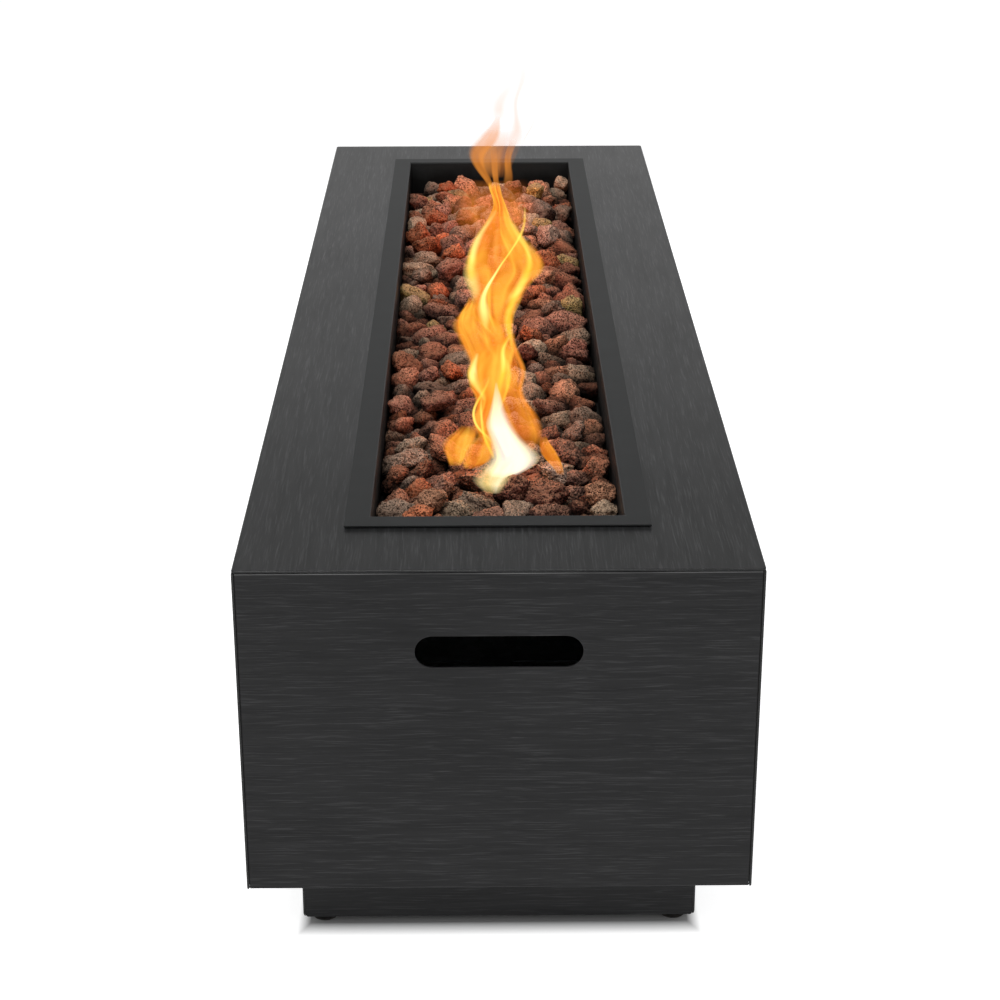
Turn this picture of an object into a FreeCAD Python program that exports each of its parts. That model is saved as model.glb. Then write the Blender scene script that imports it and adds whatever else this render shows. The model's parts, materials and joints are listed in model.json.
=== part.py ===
import FreeCAD, Part
import math
import os
import random
import re

import Sketcher
from FreeCAD import Placement, Rotation, Vector

# A long, low gas fire pit table. A folded steel casing stands on a recessed plinth with four
# screw feet. A pan with a flange drops into the deck, and a straight tube burner lies in the
# trough of the pan under one layer of lava stones. The valve and the igniter sit in a niche in
# the right long side, and gas comes in through a fitting under the base.
# X runs across the table, Y along it from the near end to the far end, and Z up from the floor.

# Every driving size, in millimetres unless the note says otherwise.
SIZES = (
    # casing and plinth
    ("deck_width", 500, "deck, across"),
    ("deck_length", 1700, "deck, along"),
    ("face_height", 345, "casing, from its lower edge to the top of the deck"),
    ("plinth_height", 65, "plinth that shows under the casing"),
    ("plinth_inset", 50, "plinth set back from the casing on all sides"),
    ("foot_gap", 10, "daylight between plinth and floor"),
    ("panel_sheet", 2, "sheet of the casing panels and the deck"),
    ("seam_gap", 1.2, "shadow gap round each end panel"),
    ("fit_gap", 0.3, "gap between sheets that are fitted into each other"),
    ("panel_lip", 15, "lip folded inwards along the lower edge of a casing panel"),
    ("panel_bend", 1.6, "outer radius of that fold"),
    ("deck_corner", 4, "radius of the deck's corners in plan"),
    ("deck_round", 1.2, "radius along the deck's upper edge"),
    ("slot_width", 160, "hand slot, across"),
    ("slot_height", 33, "hand slot, tall"),
    ("slot_drop", 85, "hand slot's centre below the deck"),
    ("base_sheet", 2, "sheet of the base panel"),
    ("vent_width", 80, "vent slot in the base, across"),
    ("vent_length", 8, "vent slot in the base, along"),
    ("vent_spread", 60, "vent row's centre from the middle of the base"),
    ("vent_pitch", 120, "from one vent to the next"),
    # frame
    ("frame_tube", 20, "square tube, outside"),
    ("frame_wall", 1.5, "square tube, wall"),
    ("stiffener_gap", 3, "stiffener's place outside the cut-out in the deck"),
    # plinth
    ("plinth_sheet", 2, "sheet of the plinth"),
    ("plinth_bend", 4.5, "outer radius of the plinth's lower fold"),
    ("plinth_top_flange", 22, "flange under the base panel"),
    ("foot_flange", 42, "flange that carries the feet"),
    ("hose_notch_width", 70, "notch for a gas hose in the far plinth panel, across"),
    ("hose_notch_height", 30, "the same notch, tall"),
    # feet
    ("foot_inset", 21, "foot's axis from the plinth's faces"),
    ("pad_diameter", 27, "rubber pad"),
    ("pad_rim", 6, "height of the pad's rim"),
    ("pad_hub", 8, "height of the pad's hub"),
    ("pad_socket", 4, "height of the socket's floor in the pad"),
    ("stem_diameter", 8, "threaded stem of a foot"),
    ("stem_length", 42, "threaded stem of a foot, above its socket"),
    ("stem_collar", 1.2, "collar on the stem, over the pad"),
    ("running_gap", 0.05, "radial clearance of a shaft in its hole"),
    ("nut_height", 8, "weld nut on the foot flange"),
    ("nut_flats", 13, "weld nut, across flats"),
    # pan
    ("bezel_margin", 100, "deck between its edge and the pan's flange"),
    ("bezel_width", 25, "pan's flange"),
    ("pan_sheet", 1.5, "sheet of the pan"),
    ("pan_bend", 2, "radius from the flange down into the pan"),
    ("pan_depth", 62, "pan's floor below the deck"),
    ("cutout_gap", 2.5, "gap between the pan's wall and the cut-out in the deck"),
    ("gasket_thick", 1.2, "gasket under the flange"),
    ("gasket_inset", 4, "gasket's edge inside the flange's edge"),
    ("gasket_gap", 1.5, "gasket's edge outside the cut-out in the deck"),
    ("trough_width", 64, "trough in the pan's floor, across"),
    ("trough_depth", 26, "trough below the pan's floor"),
    ("trough_margin", 75, "pan's floor beyond each end of the trough"),
    # burner
    ("burner_diameter", 25.4, "burner tube"),
    ("burner_wall", 1.2, "burner tube, wall"),
    ("burner_margin", 50, "trough beyond each end of the burner"),
    ("burner_standoff", 3, "burner above the trough's floor"),
    ("plug_length", 8, "end plug of the burner"),
    ("port_diameter", 2.4, "flame port"),
    ("port_pitch", 40, "from one flame port to the next"),
    ("port_margin", 30, "first flame port from the burner's end"),
    ("saddle_length", 12, "saddle that carries the burner, along"),
    ("saddle_spacing", 70, "last saddle from the electrode"),
    ("mixer_from_end", 330, "mixer's axis from the far end"),
    ("mixer_diameter", 20, "mixer tube"),
    ("mixer_bore", 16, "mixer tube, inside"),
    ("mixer_entry", 7, "mixer's top below the burner's axis"),
    ("mixer_length", 82, "mixer tube below the trough's floor"),
    ("mixer_gap", 0.3, "mixer in its holes, radial"),
    ("air_window_width", 8, "air window in the mixer, across"),
    ("air_window_height", 16, "air window in the mixer, tall"),
    ("jet_hex", 19, "gas jet under the mixer, across flats"),
    ("jet_hex_height", 8, "hexagon of the jet, tall"),
    ("jet_seat", 12, "jet inside the mixer"),
    ("locknut_height", 6, "locknut of the mixer and of the inlet"),
    ("electrode_spacing", 50, "electrode from the mixer"),
    ("electrode_spread", 22, "electrode and probe from the burner's axis"),
    ("ceramic_diameter", 7, "ceramic of the electrode"),
    ("wire_diameter", 2, "wire of the electrode"),
    ("spark_gap", 4, "electrode's tip from the burner"),
    ("probe_diameter", 5, "thermocouple probe"),
    ("shoulder_diameter", 11, "shoulder that seats the ceramic and the probe"),
    ("bracket_sheet", 1.5, "bracket under the electrode and the probe"),
    ("shield_sheet", 1, "heat shield"),
    ("shield_width", 342, "heat shield, across"),
    ("shield_height", 98, "heat shield, under the frame"),
    ("shield_margin", 160, "heat shield's end from the table's end"),
    # lava stones
    ("rock_pitch", 34, "from one stone to the next"),
    ("rock_gap", 0.6, "least gap from stone to stone"),
    ("rock_seat", 0.3, "stone's lowest point above what carries it"),
    ("rock_low", 31, "least height of a stone"),
    ("rock_high", 40, "greatest height of a stone"),
    # niche
    ("control_from_end", 290, "niche's middle from the far end"),
    ("control_drop", 185, "niche's middle below the deck"),
    ("recess_width", 150, "niche, along the table"),
    ("recess_height", 84, "niche, tall"),
    ("recess_depth", 44, "niche behind the inner face of the side panel"),
    ("recess_corner", 8, "radius of the niche's corners"),
    ("recess_sheet", 1.2, "sheet of the niche"),
    ("recess_flange", 14, "flange of the niche behind the side panel"),
    # valve and knob
    ("knob_offset", 35, "knob's axis from the niche's middle"),
    ("knob_diameter", 42, "knob's skirt"),
    ("knob_grip", 34, "knob's grip at its root"),
    ("knob_tip", 31, "knob's grip at its front"),
    ("knob_skirt", 4, "thickness of the skirt"),
    ("knob_length", 20, "knob along its axis"),
    ("knob_gap", 7, "knob's skirt in front of the plate"),
    ("knob_travel", 4, "how far the knob pushes in"),
    ("flute_diameter", 5, "flute in the knob's grip"),
    ("valve_width", 38, "valve block, along the table"),
    ("valve_height", 34, "valve block, tall"),
    ("valve_depth", 44, "valve block behind the plate"),
    ("valve_cavity", 16, "spring chamber in the valve"),
    ("cavity_depth", 34, "the same chamber behind the plate"),
    ("stem_guide", 8, "guide bore behind the chamber"),
    ("port_boss", 14, "boss of a gas port on the valve"),
    ("port_reach", 12, "the same boss, out of the block"),
    ("shaft_diameter", 7.9, "valve shaft"),
    ("washer_thick", 2, "thrust washer"),
    ("washer_diameter", 15.4, "thrust washer"),
    ("collar_thick", 1.5, "collar on the valve shaft"),
    ("collar_diameter", 11, "collar on the valve shaft"),
    ("spring_wire", 1.2, "wire of the valve spring"),
    ("spring_diameter", 11.2, "valve spring, middle of the wire"),
    # igniter
    ("igniter_offset", 40, "igniter's axis from the niche's middle"),
    ("igniter_barrel", 21, "igniter's barrel"),
    ("igniter_bore", 16.8, "bore of the barrel"),
    ("igniter_length", 65, "barrel behind the front of the plate"),
    ("igniter_end", 1.5, "closed end of the barrel"),
    ("igniter_rim", 26, "rim in front of the plate"),
    ("rim_thick", 2.5, "the same rim, thickness"),
    ("button_diameter", 16.2, "igniter button"),
    ("button_proud", 5.5, "button in front of the rim"),
    ("button_length", 9.2, "igniter button, along its axis"),
    ("battery_diameter", 14.2, "battery"),
    ("battery_length", 50.5, "battery"),
    ("button_wire", 0.9, "wire of the button spring"),
    ("button_coil", 11, "button spring, middle of the wire"),
    # gas inlet
    ("inlet_offset", 60, "inlet's axis from the middle of the table"),
    ("inlet_from_end", 130, "inlet's axis from the far end"),
    ("inlet_thread", 15.9, "flare thread of the inlet"),
    ("inlet_reach", 21, "flare thread below its hexagon"),
    ("inlet_hex", 22, "hexagon of the inlet, across flats"),
    ("inlet_hex_height", 6, "the same hexagon, tall"),
    ("inlet_stub", 14, "stub above the base panel"),
    ("inlet_stub_height", 21, "the same stub, tall"),
    ("inlet_bore", 7, "gas way through the inlet"),
    ("hose_diameter", 10, "gas hose inside the casing"),
    ("lead_diameter", 4, "igniter lead"),
    ("capillary_diameter", 3, "thermocouple lead"),
    ("hose_climb", 85, "first straight of the supply hose, above the inlet"),
    ("hose_swing", 74, "last straight of the supply hose, before the valve"),
    ("hose_turn", 33, "burner hose's corner under the valve, above the base"),
    ("hose_sag", 18, "lowest corner of the burner hose, above the base"),
    ("hose_rise", 61, "burner hose's corner under the mixer, above the base"),
    ("lead_run", 37, "first straight of the igniter lead, behind the barrel"),
    # screws
    ("screw_diameter", 4.8, "panel screw"),
    ("screw_head", 8.4, "head of a panel screw"),
    ("head_height", 2.2, "the same head, tall"),
    ("screw_length", 9, "panel screw beyond its head"),
    ("screw_gap", 0.2, "screw in its hole, radial"),
    ("screw_inset", 9, "base screw from the casing's face"),
    ("screw_margin", 60, "first base screw from the end"),
    ("plinth_screw_inset", 12, "plinth screw from the plinth's face"),
    ("small_screw", 4, "screw of the niche and of the valve"),
)
ALIASES = {alias for alias, number, note in SIZES}

doc = FreeCAD.newDocument("fire_pit_table")
sheet = doc.addObject("Spreadsheet::Sheet", "sizes")
for row, (alias, number, note) in enumerate(SIZES, 1):
    sheet.set(f"A{row}", note)
    sheet.set(f"B{row}", str(number))
    sheet.setAlias(f"B{row}", alias)
doc.recompute()

nodes = []

# Levels above the floor and faces across and along, as formulas of the sizes.
CASE_BOTTOM = "(foot_gap + plinth_height)"
DECK_TOP = "(foot_gap + plinth_height + face_height)"
DECK_UNDER = f"({DECK_TOP} - panel_sheet)"
PANEL_TOP = f"({DECK_UNDER} - seam_gap)"
LIP_TOP = f"({CASE_BOTTOM} + panel_sheet)"
BASE_TOP = f"({LIP_TOP} + base_sheet)"
RAIL_UNDER = f"({DECK_UNDER} - frame_tube)"
CASE_X = "(deck_width / 2)"
CASE_Y = "(deck_length / 2)"
INSIDE_X = "(deck_width / 2 - panel_sheet)"
INSIDE_Y = "(deck_length / 2 - panel_sheet)"


def formula(text):
    """The expression for a formula written with the bare names of the sizes."""
    return re.sub(r"[a-z][a-z_]+", lambda word: "sizes." + word[0] if word[0] in ALIASES else word[0], text)


def number(text):
    """What a formula comes to with the sizes as they are."""
    return float(sheet.evalExpression(formula(text)))


def signed(side, text):
    """A place on the positive or the negative side of the table."""
    return text if side > 0 else f"-({text})"


def span(side, low, high):
    """A stretch between two places, mirrored to the negative side where that is asked."""
    return (low, high) if side > 0 else (f"-({high})", f"-({low})")


def middle(half):
    """A stretch that reaches as far to both sides of the middle."""
    return (f"-({half})", half)


def about(centre, half):
    """A stretch that reaches as far to both sides of a centre."""
    return (f"({centre}) - ({half})", f"({centre}) + ({half})")


def keep(piece, node):
    """Names a finished sub-part and puts it on the list of what is written out."""
    piece.Label = node
    nodes.append(piece)
    return piece


def block(name, x, y, z):
    """A box between two formulas along each axis."""
    made = doc.addObject("Part::Box", name)
    for side, axis, (low, high) in zip(("Length", "Width", "Height"), "xyz", (x, y, z)):
        made.setExpression(side, formula(f"({high}) - ({low})"))
        made.setExpression(f"Placement.Base.{axis}", formula(low))
    return made


# How a shape that stands along Z is turned to lie along another axis.
ALONG = {"x": Rotation(Vector(0, 1, 0), 90), "y": Rotation(Vector(1, 0, 0), -90), "z": Rotation()}


def lay(made, axis, spot, low):
    """Places an upright shape along an axis: spot holds its other two places, in axis order."""
    made.Placement = Placement(Vector(), ALONG[axis])
    places = list(spot)
    places.insert("xyz".index(axis), low)
    for letter, place in zip("xyz", places):
        made.setExpression(f"Placement.Base.{letter}", formula(place))
    return made


def rod(name, axis, radius, spot, reach):
    """A round bar along an axis, between the two ends in reach."""
    made = doc.addObject("Part::Cylinder", name)
    made.setExpression("Radius", formula(radius))
    made.setExpression("Height", formula(f"({reach[1]}) - ({reach[0]})"))
    return lay(made, axis, spot, reach[0])


def cone(name, axis, radii, spot, reach):
    """A round taper along an axis, from the first radius to the second."""
    made = doc.addObject("Part::Cone", name)
    made.setExpression("Radius1", formula(radii[0]))
    made.setExpression("Radius2", formula(radii[1]))
    made.setExpression("Height", formula(f"({reach[1]}) - ({reach[0]})"))
    return lay(made, axis, spot, reach[0])


def hexagon(name, axis, flats, spot, reach):
    """A six-sided bar along an axis, given across its flats."""
    made = doc.addObject("Part::Prism", name)
    made.Polygon = 6
    made.setExpression("Circumradius", formula(f"({flats}) / 2 / cos(30)"))
    made.setExpression("Height", formula(f"({reach[1]}) - ({reach[0]})"))
    return lay(made, axis, spot, reach[0])


def fuse(name, pieces):
    made = doc.addObject("Part::MultiFuse", name)
    made.Shapes = pieces
    made.Refine = True
    return made


def group(name, pieces):
    """Separate solids kept together."""
    made = doc.addObject("Part::Compound", name)
    made.Links = pieces
    return made


def cut(name, base, tools):
    made = doc.addObject("Part::Cut", name)
    made.Base = base
    made.Tool = tools[0] if len(tools) == 1 else group(name + "_cuts", tools)
    made.Refine = True
    return made


def runs(edge, axis):
    """True for a straight edge along an axis."""
    if not isinstance(edge.Curve, Part.Line):
        return False
    return abs(getattr(edge.Curve.Direction, axis)) > 0.999


def at(edge, **places):
    """True for an edge whose middle lies at all the given places."""
    centre = edge.CenterOfMass
    return all(abs(getattr(centre, axis) - number(text)) < 0.01 for axis, text in places.items())


def rounded(name, base, size, chosen):
    """Rounds the chosen edges of a shape to the radius of that name."""
    doc.recompute()
    radius = number(size)
    made = doc.addObject("Part::Fillet", name)
    made.Base = base
    made.Edges = [(index, radius, radius) for index, edge in enumerate(base.Shape.Edges, 1) if chosen(edge)]
    return made


def bend(start, corner, end):
    """The arc that leaves start towards corner and comes into end from it, and its radius."""
    into, out = (corner - start).normalize(), (end - corner).normalize()
    half_turn = into.getAngle(out) / 2
    inward = (out - into).normalize()
    radius = start.distanceToPoint(corner) / math.tan(half_turn)
    centre = corner + inward * (radius / math.cos(half_turn))
    return Part.Arc(start, centre - inward * radius, end).toShape(), radius


def start_body(name):
    return doc.addObject("PartDesign::Body", name)


def start_sketch(body, name, role, offset="0"):
    """A sketch on one of the body's own planes, lifted off it by a formula."""
    sketch = body.newObject("Sketcher::SketchObject", name)
    plane = next(feature for feature in body.Origin.OriginFeatures if feature.Role == role)
    sketch.AttachmentSupport = [(plane, "")]
    sketch.MapMode = "FlatFace"
    sketch.setExpression("AttachmentOffset.Base.z", formula(offset))
    return sketch


def pin(sketch, index, point, spot):
    """Ties a point of a sketch to two formulas."""
    for kind, text in zip(("DistanceX", "DistanceY"), spot):
        tie = sketch.addConstraint(Sketcher.Constraint(kind, -1, 1, index, point, number(text)))
        sketch.setExpression(f"Constraints[{tie}]", formula(text))


def outline(sketch, corners):
    """A closed outline of straight edges through corners that are pairs of formulas."""
    first = sketch.GeometryCount
    spots = [Vector(number(across), number(up), 0) for across, up in corners]
    count = len(corners)
    for step in range(count):
        sketch.addGeometry(Part.LineSegment(spots[step], spots[(step + 1) % count]), False)
    for step in range(count):
        follower = first + (step + 1) % count
        sketch.addConstraint(Sketcher.Constraint("Coincident", first + step, 2, follower, 1))
    for step, corner in enumerate(corners):
        pin(sketch, first + step, 1, corner)


def rectangle(x, y):
    """The four corners between two formulas along each axis."""
    return [(x[0], y[0]), (x[1], y[0]), (x[1], y[1]), (x[0], y[1])]


def pad(body, sketch, length, both_ways=False):
    made = body.newObject("PartDesign::Pad", sketch.Name + "_pad")
    made.Profile = sketch
    made.setExpression("Length", formula(length))
    made.Midplane = both_ways
    return made


def turn(body, sketch, axis):
    """Turns a sketch once round one of its own axes."""
    made = body.newObject("PartDesign::Revolution", sketch.Name + "_turned")
    made.Profile = sketch
    made.ReferenceAxis = (sketch, [axis])
    made.Angle = 360
    return made


def soften(body, feature, radius, chosen):
    """A fillet in a body along the chosen edges of its last feature."""
    doc.recompute()
    names = [f"Edge{index}" for index, edge in enumerate(feature.Shape.Edges, 1) if chosen(edge)]
    made = body.newObject("PartDesign::Fillet", feature.Name + "_soft")
    made.Base = (feature, names)
    made.setExpression("Radius", formula(radius))
    return made


# Deck: one flat sheet over the whole table, with a cut-out for the pan.
OPEN_X = f"({CASE_X} - bezel_margin - bezel_width)"
OPEN_Y = f"({CASE_Y} - bezel_margin - bezel_width)"
CUT_X = f"({OPEN_X} + pan_sheet + cutout_gap)"
CUT_Y = f"({OPEN_Y} + pan_sheet + cutout_gap)"


def make_deck():
    body = start_body("top_panel")
    sketch = start_sketch(body, "deck_outline", "XY_Plane", DECK_UNDER)
    outline(sketch, rectangle(middle(CASE_X), middle(CASE_Y)))
    outline(sketch, rectangle(middle(CUT_X), middle(CUT_Y)))
    plate = pad(body, sketch, "panel_sheet")
    outside = number(CUT_X) + number("gasket_gap")
    corners = soften(body, plate, "deck_corner",
                     lambda edge: runs(edge, "z") and abs(edge.CenterOfMass.x) > outside)

    def upper_rim(edge):
        centre = edge.CenterOfMass
        beyond = abs(centre.x) > outside or abs(centre.y) > number(CUT_Y) + number("gasket_gap")
        return beyond and abs(centre.z - number(DECK_TOP)) < 0.01

    soften(body, corners, "deck_round", upper_rim)
    keep(body, "top_panel")


# Casing panels: sheets with a lip folded inwards below, where the base panel lies and is screwed.
LIP_X = f"({CASE_X} - panel_lip)"
LIP_Y = f"({CASE_Y} - panel_lip)"
SCREW_X = f"({CASE_X} - screw_inset)"
SCREW_Y = f"({CASE_Y} - screw_inset)"
SCREWS_PER_SIDE = 6
SCREW_STEP = f"(({CASE_Y} - screw_margin) * 2 / {SCREWS_PER_SIDE - 1})"
END_SCREW_X = f"({CASE_X} / 2)"
HOLE = "(screw_diameter / 2 + screw_gap)"
CONTROL_Y = f"({CASE_Y} - control_from_end)"
CONTROL_Z = f"({DECK_TOP} - control_drop)"


def base_screw_spots():
    """Where the base screws stand, as pairs of formulas for X and Y."""
    spots = []
    for side in (-1, 1):
        for step in range(SCREWS_PER_SIDE):
            spots.append((signed(side, SCREW_X), f"(screw_margin - {CASE_Y} + {step} * {SCREW_STEP})"))
        for end in (-1, 1):
            spots.append((signed(side, END_SCREW_X), signed(end, SCREW_Y)))
    return spots


def holes(name, spots, radius, reach):
    """Upright round cutters, one for each spot."""
    return [rod(f"{name}_{index}", "z", radius, spot, reach) for index, spot in enumerate(spots)]


def on_side(side):
    """The base screws along one long side."""
    return [spot for spot in base_screw_spots() if spot[0] == signed(side, SCREW_X)]


def on_end(end):
    """The base screws along one short side."""
    return [spot for spot in base_screw_spots() if spot[1] == signed(end, SCREW_Y)]


def niche_screw_spots():
    """Where the niche's four screws stand, as pairs of formulas for Y and Z."""
    reach_y = "(recess_width / 2 + recess_flange / 2)"
    reach_z = "(recess_height / 2 + recess_flange / 2)"
    return [(f"{CONTROL_Y} + {along} * {reach_y}", f"{CONTROL_Z} + {up} * {reach_z}")
            for along in (-1, 1) for up in (-1, 1)]


def niche_block(name, x, extra):
    """A block as wide and tall as the niche and so much more all round, with rounded corners."""
    raw = block(name + "_raw", x, about(CONTROL_Y, f"recess_width / 2 + {extra}"),
                about(CONTROL_Z, f"recess_height / 2 + {extra}"))
    return rounded(name, raw, f"recess_corner + {extra}", lambda edge: runs(edge, "x"))


def make_side_panel(node, side):
    web = block(node + "_web", span(side, INSIDE_X, CASE_X), middle(CASE_Y), (CASE_BOTTOM, PANEL_TOP))
    lip = block(node + "_lip", span(side, LIP_X, CASE_X), middle(f"{INSIDE_Y} - fit_gap"),
                (CASE_BOTTOM, LIP_TOP))
    folded = fuse(node + "_folded", [web, lip])
    bent = rounded(node + "_bent", folded, "panel_bend",
                   lambda edge: runs(edge, "y") and at(edge, x=signed(side, CASE_X), z=CASE_BOTTOM))
    cutters = holes(node + "_hole", on_side(side), HOLE, (CASE_BOTTOM, LIP_TOP))
    if side > 0:
        cutters.append(niche_block(node + "_window", (INSIDE_X, CASE_X), "0"))
        for index, spot in enumerate(niche_screw_spots()):
            cutters.append(cone(f"{node}_sink_{index}", "x", ("small_screw / 2", "small_screw"), spot,
                                (INSIDE_X, CASE_X)))
    keep(cut(node + "_panel", bent, cutters), node)


def make_end_panel(node, end):
    web = block(node + "_web", middle(f"{INSIDE_X} - seam_gap"), span(end, INSIDE_Y, CASE_Y),
                (CASE_BOTTOM, PANEL_TOP))
    lip = block(node + "_lip", middle(f"{LIP_X} - fit_gap"), span(end, LIP_Y, CASE_Y),
                (CASE_BOTTOM, LIP_TOP))
    folded = fuse(node + "_folded", [web, lip])
    bent = rounded(node + "_bent", folded, "panel_bend",
                   lambda edge: runs(edge, "x") and at(edge, y=signed(end, CASE_Y), z=CASE_BOTTOM))
    slot_z = f"({DECK_TOP} - slot_drop)"
    straight = "((slot_width - slot_height) / 2)"
    through = span(end, INSIDE_Y, CASE_Y)
    slot = fuse(node + "_slot", [
        block(node + "_slot_middle", middle(straight), through, about(slot_z, "slot_height / 2")),
        rod(node + "_slot_left", "y", "slot_height / 2", (f"-{straight}", slot_z), through),
        rod(node + "_slot_right", "y", "slot_height / 2", (straight, slot_z), through),
    ])
    cutters = holes(node + "_hole", on_end(end), HOLE, (CASE_BOTTOM, LIP_TOP))
    keep(cut(node + "_panel", bent, cutters + [slot]), node)


# Base panel: it lies on the lips, has two rows of vents and carries the gas inlet.
INLET_SPOT = ("inlet_offset", f"({CASE_Y} - inlet_from_end)")
PLINTH_X = f"({CASE_X} - plinth_inset)"
PLINTH_Y = f"({CASE_Y} - plinth_inset)"
VENTS_EACH_WAY = 4


def plinth_screw_spots():
    """Where the plinth screws stand: five along each side and two at each end."""
    spots = []
    for side in (-1, 1):
        for step in range(-2, 3):
            spots.append((signed(side, f"{PLINTH_X} - plinth_screw_inset"), f"({step} * vent_pitch * 2.5)"))
        for end in (-1, 1):
            spots.append((signed(side, f"{PLINTH_X} / 2"), signed(end, f"{PLINTH_Y} - plinth_screw_inset")))
    return spots


def make_base_panel():
    plate = block("base_plate", middle(f"{INSIDE_X} - fit_gap"), middle(f"{INSIDE_Y} - fit_gap"),
                  (LIP_TOP, BASE_TOP))
    cutters = holes("base_hole", base_screw_spots() + plinth_screw_spots(), HOLE, (LIP_TOP, BASE_TOP))
    cutters.append(rod("base_inlet_hole", "z", "inlet_stub / 2 + screw_gap", INLET_SPOT,
                       (LIP_TOP, BASE_TOP)))
    for side in (-1, 1):
        for step in range(-VENTS_EACH_WAY, VENTS_EACH_WAY + 1):
            cutters.append(block(f"vent_{side}_{step}", about(signed(side, "vent_spread"), "vent_width / 2"),
                                 about(f"{step} * vent_pitch", "vent_length / 2"), (LIP_TOP, BASE_TOP)))
    keep(cut("base_panel_cut", plate, cutters), "base_panel")


# Frame: square tubes behind the panels, welded where their faces meet.
def square_tube(name, axis, x, y, z):
    outer = block(name + "_outside", x, y, z)
    inner = []
    for letter, (low, high) in zip("xyz", (x, y, z)):
        wall = "0" if letter == axis else "frame_wall"
        inner.append((f"{low} + {wall}", f"{high} - {wall}"))
    return cut(name, outer, [block(name + "_inside", *inner)])


RAIL_X = f"({INSIDE_X} - frame_tube)"
RAIL_Y = f"({INSIDE_Y} - frame_tube)"


def make_frame():
    drilled = (BASE_TOP, f"{BASE_TOP} + frame_wall")
    for side, word in ((-1, "left"), (1, "right")):
        rail = square_tube(f"upper_rail_{word}", "y", span(side, RAIL_X, INSIDE_X), middle(INSIDE_Y),
                           (RAIL_UNDER, DECK_UNDER))
        keep(rail, f"top_rail_{word}")
        low_rail = square_tube(f"lower_rail_{word}", "y", span(side, RAIL_X, INSIDE_X), middle(INSIDE_Y),
                               (BASE_TOP, f"{BASE_TOP} + frame_tube"))
        cutters = holes(f"lower_rail_{word}_hole", on_side(side), HOLE, drilled)
        keep(cut(f"lower_rail_{word}_drilled", low_rail, cutters), f"bottom_rail_{word}")
    posts = []
    cross_rails = []
    for end, word in ((-1, "near"), (1, "far")):
        stretch = span(end, RAIL_Y, INSIDE_Y)
        cross_rails.append(square_tube(f"cross_upper_{word}", "x", middle(RAIL_X), stretch,
                                       (RAIL_UNDER, DECK_UNDER)))
        low_rail = square_tube(f"cross_lower_{word}", "x", middle(RAIL_X), stretch,
                               (BASE_TOP, f"{BASE_TOP} + frame_tube"))
        cutters = holes(f"cross_lower_{word}_hole", on_end(end), HOLE, drilled)
        cross_rails.append(cut(f"cross_lower_{word}_drilled", low_rail, cutters))
        for side in (-1, 1):
            posts.append(square_tube(f"post_{word}_{side}", "z", span(side, RAIL_X, INSIDE_X), stretch,
                                     (f"{BASE_TOP} + frame_tube", RAIL_UNDER)))
    keep(group("four_posts", posts), "corner_posts")
    keep(group("four_cross_rails", cross_rails), "end_rails")
    near_edge = f"({CUT_X} + stiffener_gap)"
    stiffeners = [square_tube(f"stiffener_{side}", "y", span(side, near_edge, f"{near_edge} + frame_tube"),
                              middle(RAIL_Y), (RAIL_UNDER, DECK_UNDER)) for side in (-1, 1)]
    keep(group("two_stiffeners", stiffeners), "deck_stiffeners")


# Plinth: two channels along the sides with two panels between them, screwed up into the base.
def make_plinth_side(node, side):
    outer, inner = signed(side, PLINTH_X), signed(side, f"{PLINTH_X} - plinth_sheet")
    top_reach = signed(side, f"{PLINTH_X} - plinth_top_flange")
    foot_reach = signed(side, f"{PLINTH_X} - foot_flange")
    low, low_inner = "foot_gap", "foot_gap + plinth_sheet"
    high, high_inner = LIP_TOP, f"{LIP_TOP} - plinth_sheet"
    body = start_body(node + "_channel")
    sketch = start_sketch(body, node + "_section", "XZ_Plane")
    outline(sketch, [(outer, low), (outer, high), (top_reach, high), (top_reach, high_inner),
                     (inner, high_inner), (inner, low_inner), (foot_reach, low_inner), (foot_reach, low)])
    channel = pad(body, sketch, f"{PLINTH_Y} * 2", both_ways=True)
    hollow = soften(body, channel, "plinth_bend - plinth_sheet",
                    lambda edge: runs(edge, "y") and at(edge, x=inner, z=low_inner))
    soften(body, hollow, "plinth_bend", lambda edge: runs(edge, "y") and at(edge, x=outer, z=low))
    line = signed(side, f"{PLINTH_X} - plinth_screw_inset")
    drilled = [spot for spot in plinth_screw_spots() if spot[0] == line]
    cutters = holes(node + "_hole", drilled, HOLE, (high_inner, high))
    feet = [(signed(side, FOOT_X), signed(end, FOOT_Y)) for end in (-1, 1)]
    cutters += holes(node + "_foot_hole", feet, "stem_diameter / 2 + fit_gap * 2", (low, low_inner))
    for end in (-1, 1):
        cutters.append(block(f"{node}_end_{end}",
                             span(side, f"{PLINTH_X} - foot_flange", f"{PLINTH_X} - plinth_sheet"),
                             span(end, f"{PLINTH_Y} - plinth_sheet - fit_gap", PLINTH_Y), (low, high)))
    keep(cut(node + "_drilled", body, cutters), node)


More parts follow.
